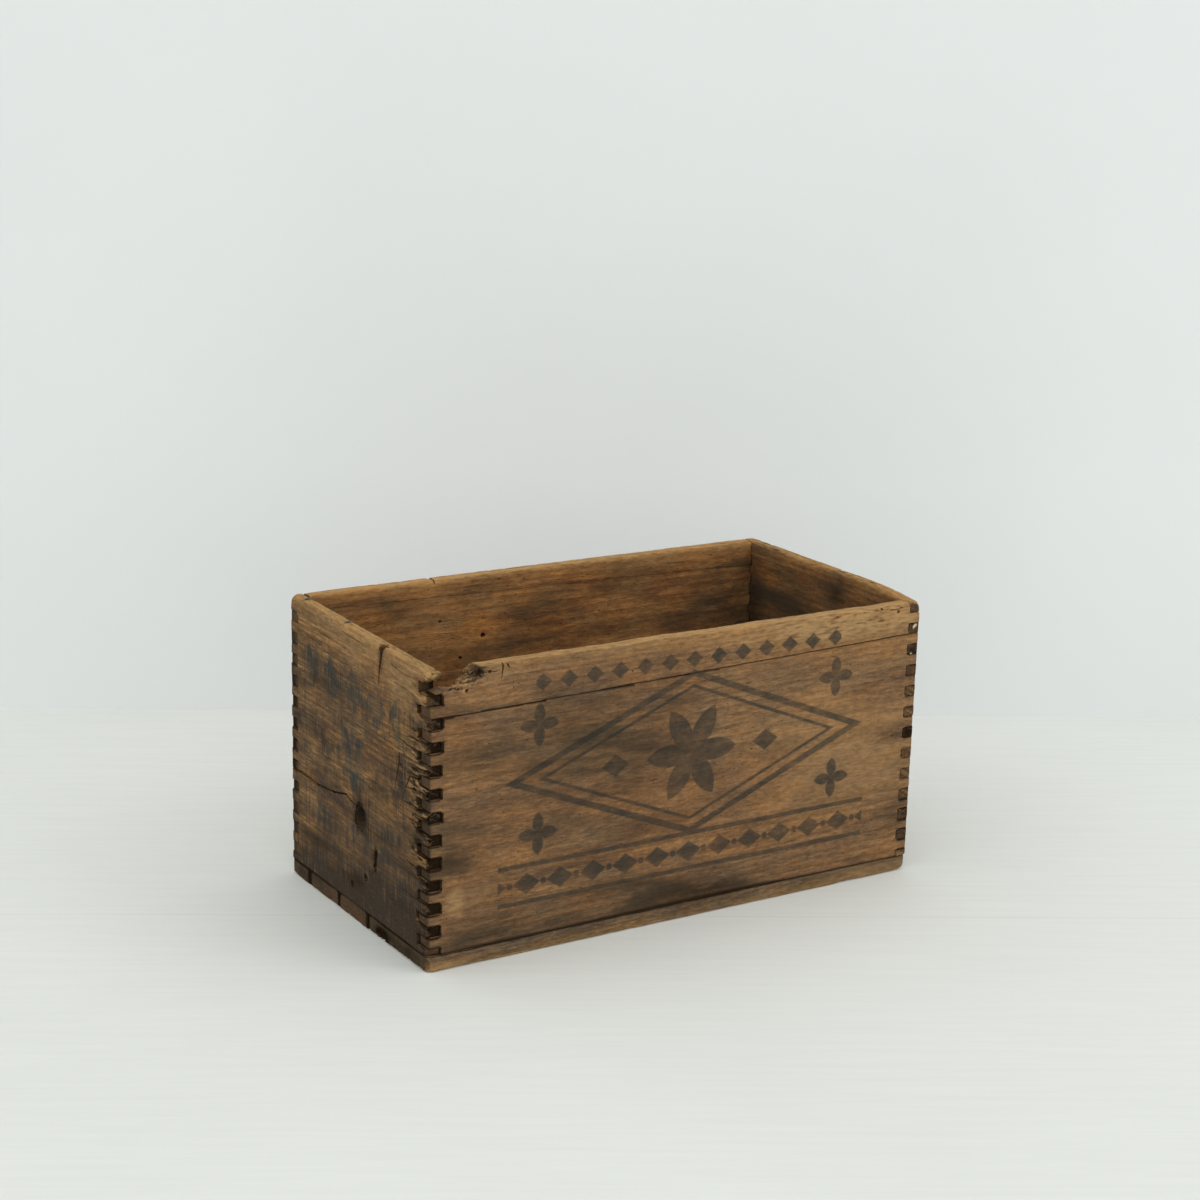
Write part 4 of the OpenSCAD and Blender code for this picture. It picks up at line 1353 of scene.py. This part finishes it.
def bent_nail(work, root, rim, inner_end):
    """Sweeps one bent nail: straight up to the rim, a quarter bend, then flat along the rim."""
    crown = rim + FLAT_HIGH / 2
    path = [(root, UP, ROD / 2, ROD / 2)]
    for turn in np.linspace(0, math.pi / 2, BEND_STEPS):
        middle = Vector((root.x + BEND * (1 - math.cos(turn)), root.y, crown - BEND + BEND * math.sin(turn)))
        thin = ROD / 2 + (FLAT_HIGH - ROD) / 2 * turn / (math.pi / 2)
        path.append((middle, Vector((math.sin(turn), 0, math.cos(turn))), ROD / 2 * (1 + 0.25 * turn), thin))
    start = path[-1][0]
    for share in np.linspace(0, 1, FLAT_STEPS + 1)[1:]:
        middle = Vector((start.x + (inner_end - start.x) * share, root.y + STRAY * share ** 2, crown))
        thin = FLAT_HIGH / 2 * (1 - 0.45 * share)
        path.append((middle, Vector((1, 0, 0)), ROD / 2 * (1.4 - 0.75 * share), thin))
    angles = np.linspace(0, 2 * math.pi, RING_POINTS, endpoint=False)
    rings = []
    for middle, way, half_wide, half_high in path:
        above = ALONG_RIM.cross(way)
        rings.append([work.verts.new(middle + ALONG_RIM * half_wide * math.cos(a)
                                     + above * half_high * math.sin(a)) for a in angles])
    join_rings(work, rings)


LID_NAIL_ROWS = (86 * MM, 21.6 * MM)
LID_NAIL_LINE = -197.75 * MM
lid_low, lid_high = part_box("bent_lid_nails")
work = bmesh.new()
worn_left = np.array([vert.co for vert in bpy.data.objects["left_end_board_worn"].data.vertices])
for y in LID_NAIL_ROWS:
    beside = np.abs(worn_left[:, 1] - y) < 3 * MM
    under = (worn_left[:, 0] > LID_NAIL_LINE - 1 * MM) & (worn_left[:, 0] < lid_high.x)
    rim = worn_left[beside & under, 2].max()
    bent_nail(work, Vector((LID_NAIL_LINE, y, lid_low.z + 1 * MM)), rim, lid_high.x)
    print("lid nail at", round(y / MM, 1), "lies on the rim at", round(rim / MM, 2), "mm")
bmesh.ops.recalc_face_normals(work, faces=work.faces)
mesh = bpy.data.meshes.new("bent_lid_nails")
work.to_mesh(mesh)
work.free()
mesh.materials.append(lid_nail)
mesh.shade_smooth()
lid_nails = in_scene("bent_lid_nails_flattened", mesh)
stand_in(lid_nails, "bent_lid_nails")
print(lid_nails.name, len(mesh.polygons), "faces")

# %% [markdown]
# ## Floor and light
# The box stands on a pale painted floor, a little in front of a pale wall. The wall shows only from its
# front, so that the box can be looked at from behind. One large soft lamp at the right and in front gives
# the shadow on the left, a weaker one lights the left end, and an even pale sky fills the rest.

# %% Painted floor and wall
# Brush marks in a metre, along and across the floor's boards
BRUSH_MARKS = (9, 160, 0)


def plain_paint(name, code, boards=None):
    """Matt house paint with faint brush marks. boards gives a way and a joint's distance from the middle."""
    material, t, shader = new_finish(name)
    place = add(t, "TexCoord", out="Object")
    mottle = add(t, "TexNoise", {"Vector": place, "Scale": 3, "Detail": 4})
    light = add(t, "MapRange", mottle, 0.3, 0.7, 0.985, 1.015)
    if boards:
        way, joint = boards
        along = add(t, "VectorMath.DOT_PRODUCT", place, way)
        across = add(t, "VectorMath.DOT_PRODUCT", place, (-way.y, way.x, 0))
        brush_place = add(t, "VectorMath.MULTIPLY", add(t, "CombineXYZ", along, across, 0), BRUSH_MARKS)
        brush = add(t, "TexNoise", {"Vector": brush_place, "Scale": 1, "Detail": 5, "Roughness": 0.65})
        light = add(t, "Math.MULTIPLY", light, add(t, "MapRange", brush, 0.3, 0.7, 0.975, 1.02))
        from_joint = away_from(t, across, joint)
        light = add(t, "Math.MULTIPLY", light, add(t, "MapRange", from_joint, 0.4 * MM, 1.2 * MM, 0.93, 1))
    link(shader, {"Base Color": add(t, "VectorMath.MULTIPLY", linear(code)[:3], light)})
    shader.inputs["Roughness"].default_value = 0.8
    shader.inputs["Specular IOR Level"].default_value = 0.1
    return material


WALL_LEFT = Vector((-0.263, 0.583, 0))
WALL_RIGHT = Vector((0.679, 0.063, 0))
FLOOR_JOINT = -0.088
wall_way = (WALL_RIGHT - WALL_LEFT).normalized()
floor_paint = plain_paint("matt floor paint", "#e1e3df", (wall_way, FLOOR_JOINT))
wall_paint = plain_paint("matt wall paint", "#e5e9ea")

t = wall_paint.node_tree
behind = add(t, "NewGeometry", out="Backfacing")
painted = t.nodes["Principled BSDF"].outputs["BSDF"]
one_sided = add(t, "MixShader", behind, painted, add(t, "BsdfTransparent"))
link(t.nodes["Material Output"], {"Surface": one_sided})

# %% Stage
STAGE_REACH = 6


def plane(name, corners, material):
    """A flat stage piece from its corners."""
    mesh = bpy.data.meshes.new(name)
    mesh.from_pydata(corners, [], [range(len(corners))])
    mesh.materials.append(material)
    in_scene(name, mesh)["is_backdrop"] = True
    print("stage:", name)


wall_start, wall_end = WALL_LEFT - wall_way * STAGE_REACH, WALL_RIGHT + wall_way * STAGE_REACH
wall_rise = Vector((0, 0, STAGE_REACH))
plane("floor", [(x * STAGE_REACH, y * STAGE_REACH, 0) for x, y in ((-1, -1), (1, -1), (1, 1), (-1, 1))],
      floor_paint)
plane("wall", [wall_start, wall_end, wall_end + wall_rise, wall_start + wall_rise], wall_paint)

# %% Light
SKY_STRENGTH = 1.21
for name, stand, aim, size, power in (("soft window", (1.5, -1.9, 2.2), (0, 0, 0.1), 1.2, 10),
                                      ("soft fill", (-2.4, 0.3, 1.5), (-0.2, 0, 0), 1.6, 4)):
    lamp_data = bpy.data.lights.new(name, "AREA")
    lamp_data.size = size
    lamp_data.energy = power
    lamp = in_scene(name, lamp_data)
    lamp.location = stand
    lamp.rotation_euler = (Vector(aim) - Vector(stand)).to_track_quat("-Z", "Y").to_euler()
    print(name, power, "W")

world = bpy.data.worlds.new("pale room")
world.use_nodes = True
sky = world.node_tree.nodes["Background"]
sky.inputs["Color"].default_value = linear("#f2f2f0")
sky.inputs["Strength"].default_value = SKY_STRENGTH
bpy.context.scene.world = world
bpy.context.scene.view_settings.view_transform = "Standard"

# %% Finish
low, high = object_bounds()
print("visual box in mm:", [round(v / MM, 2) for v in (*low, *high)])
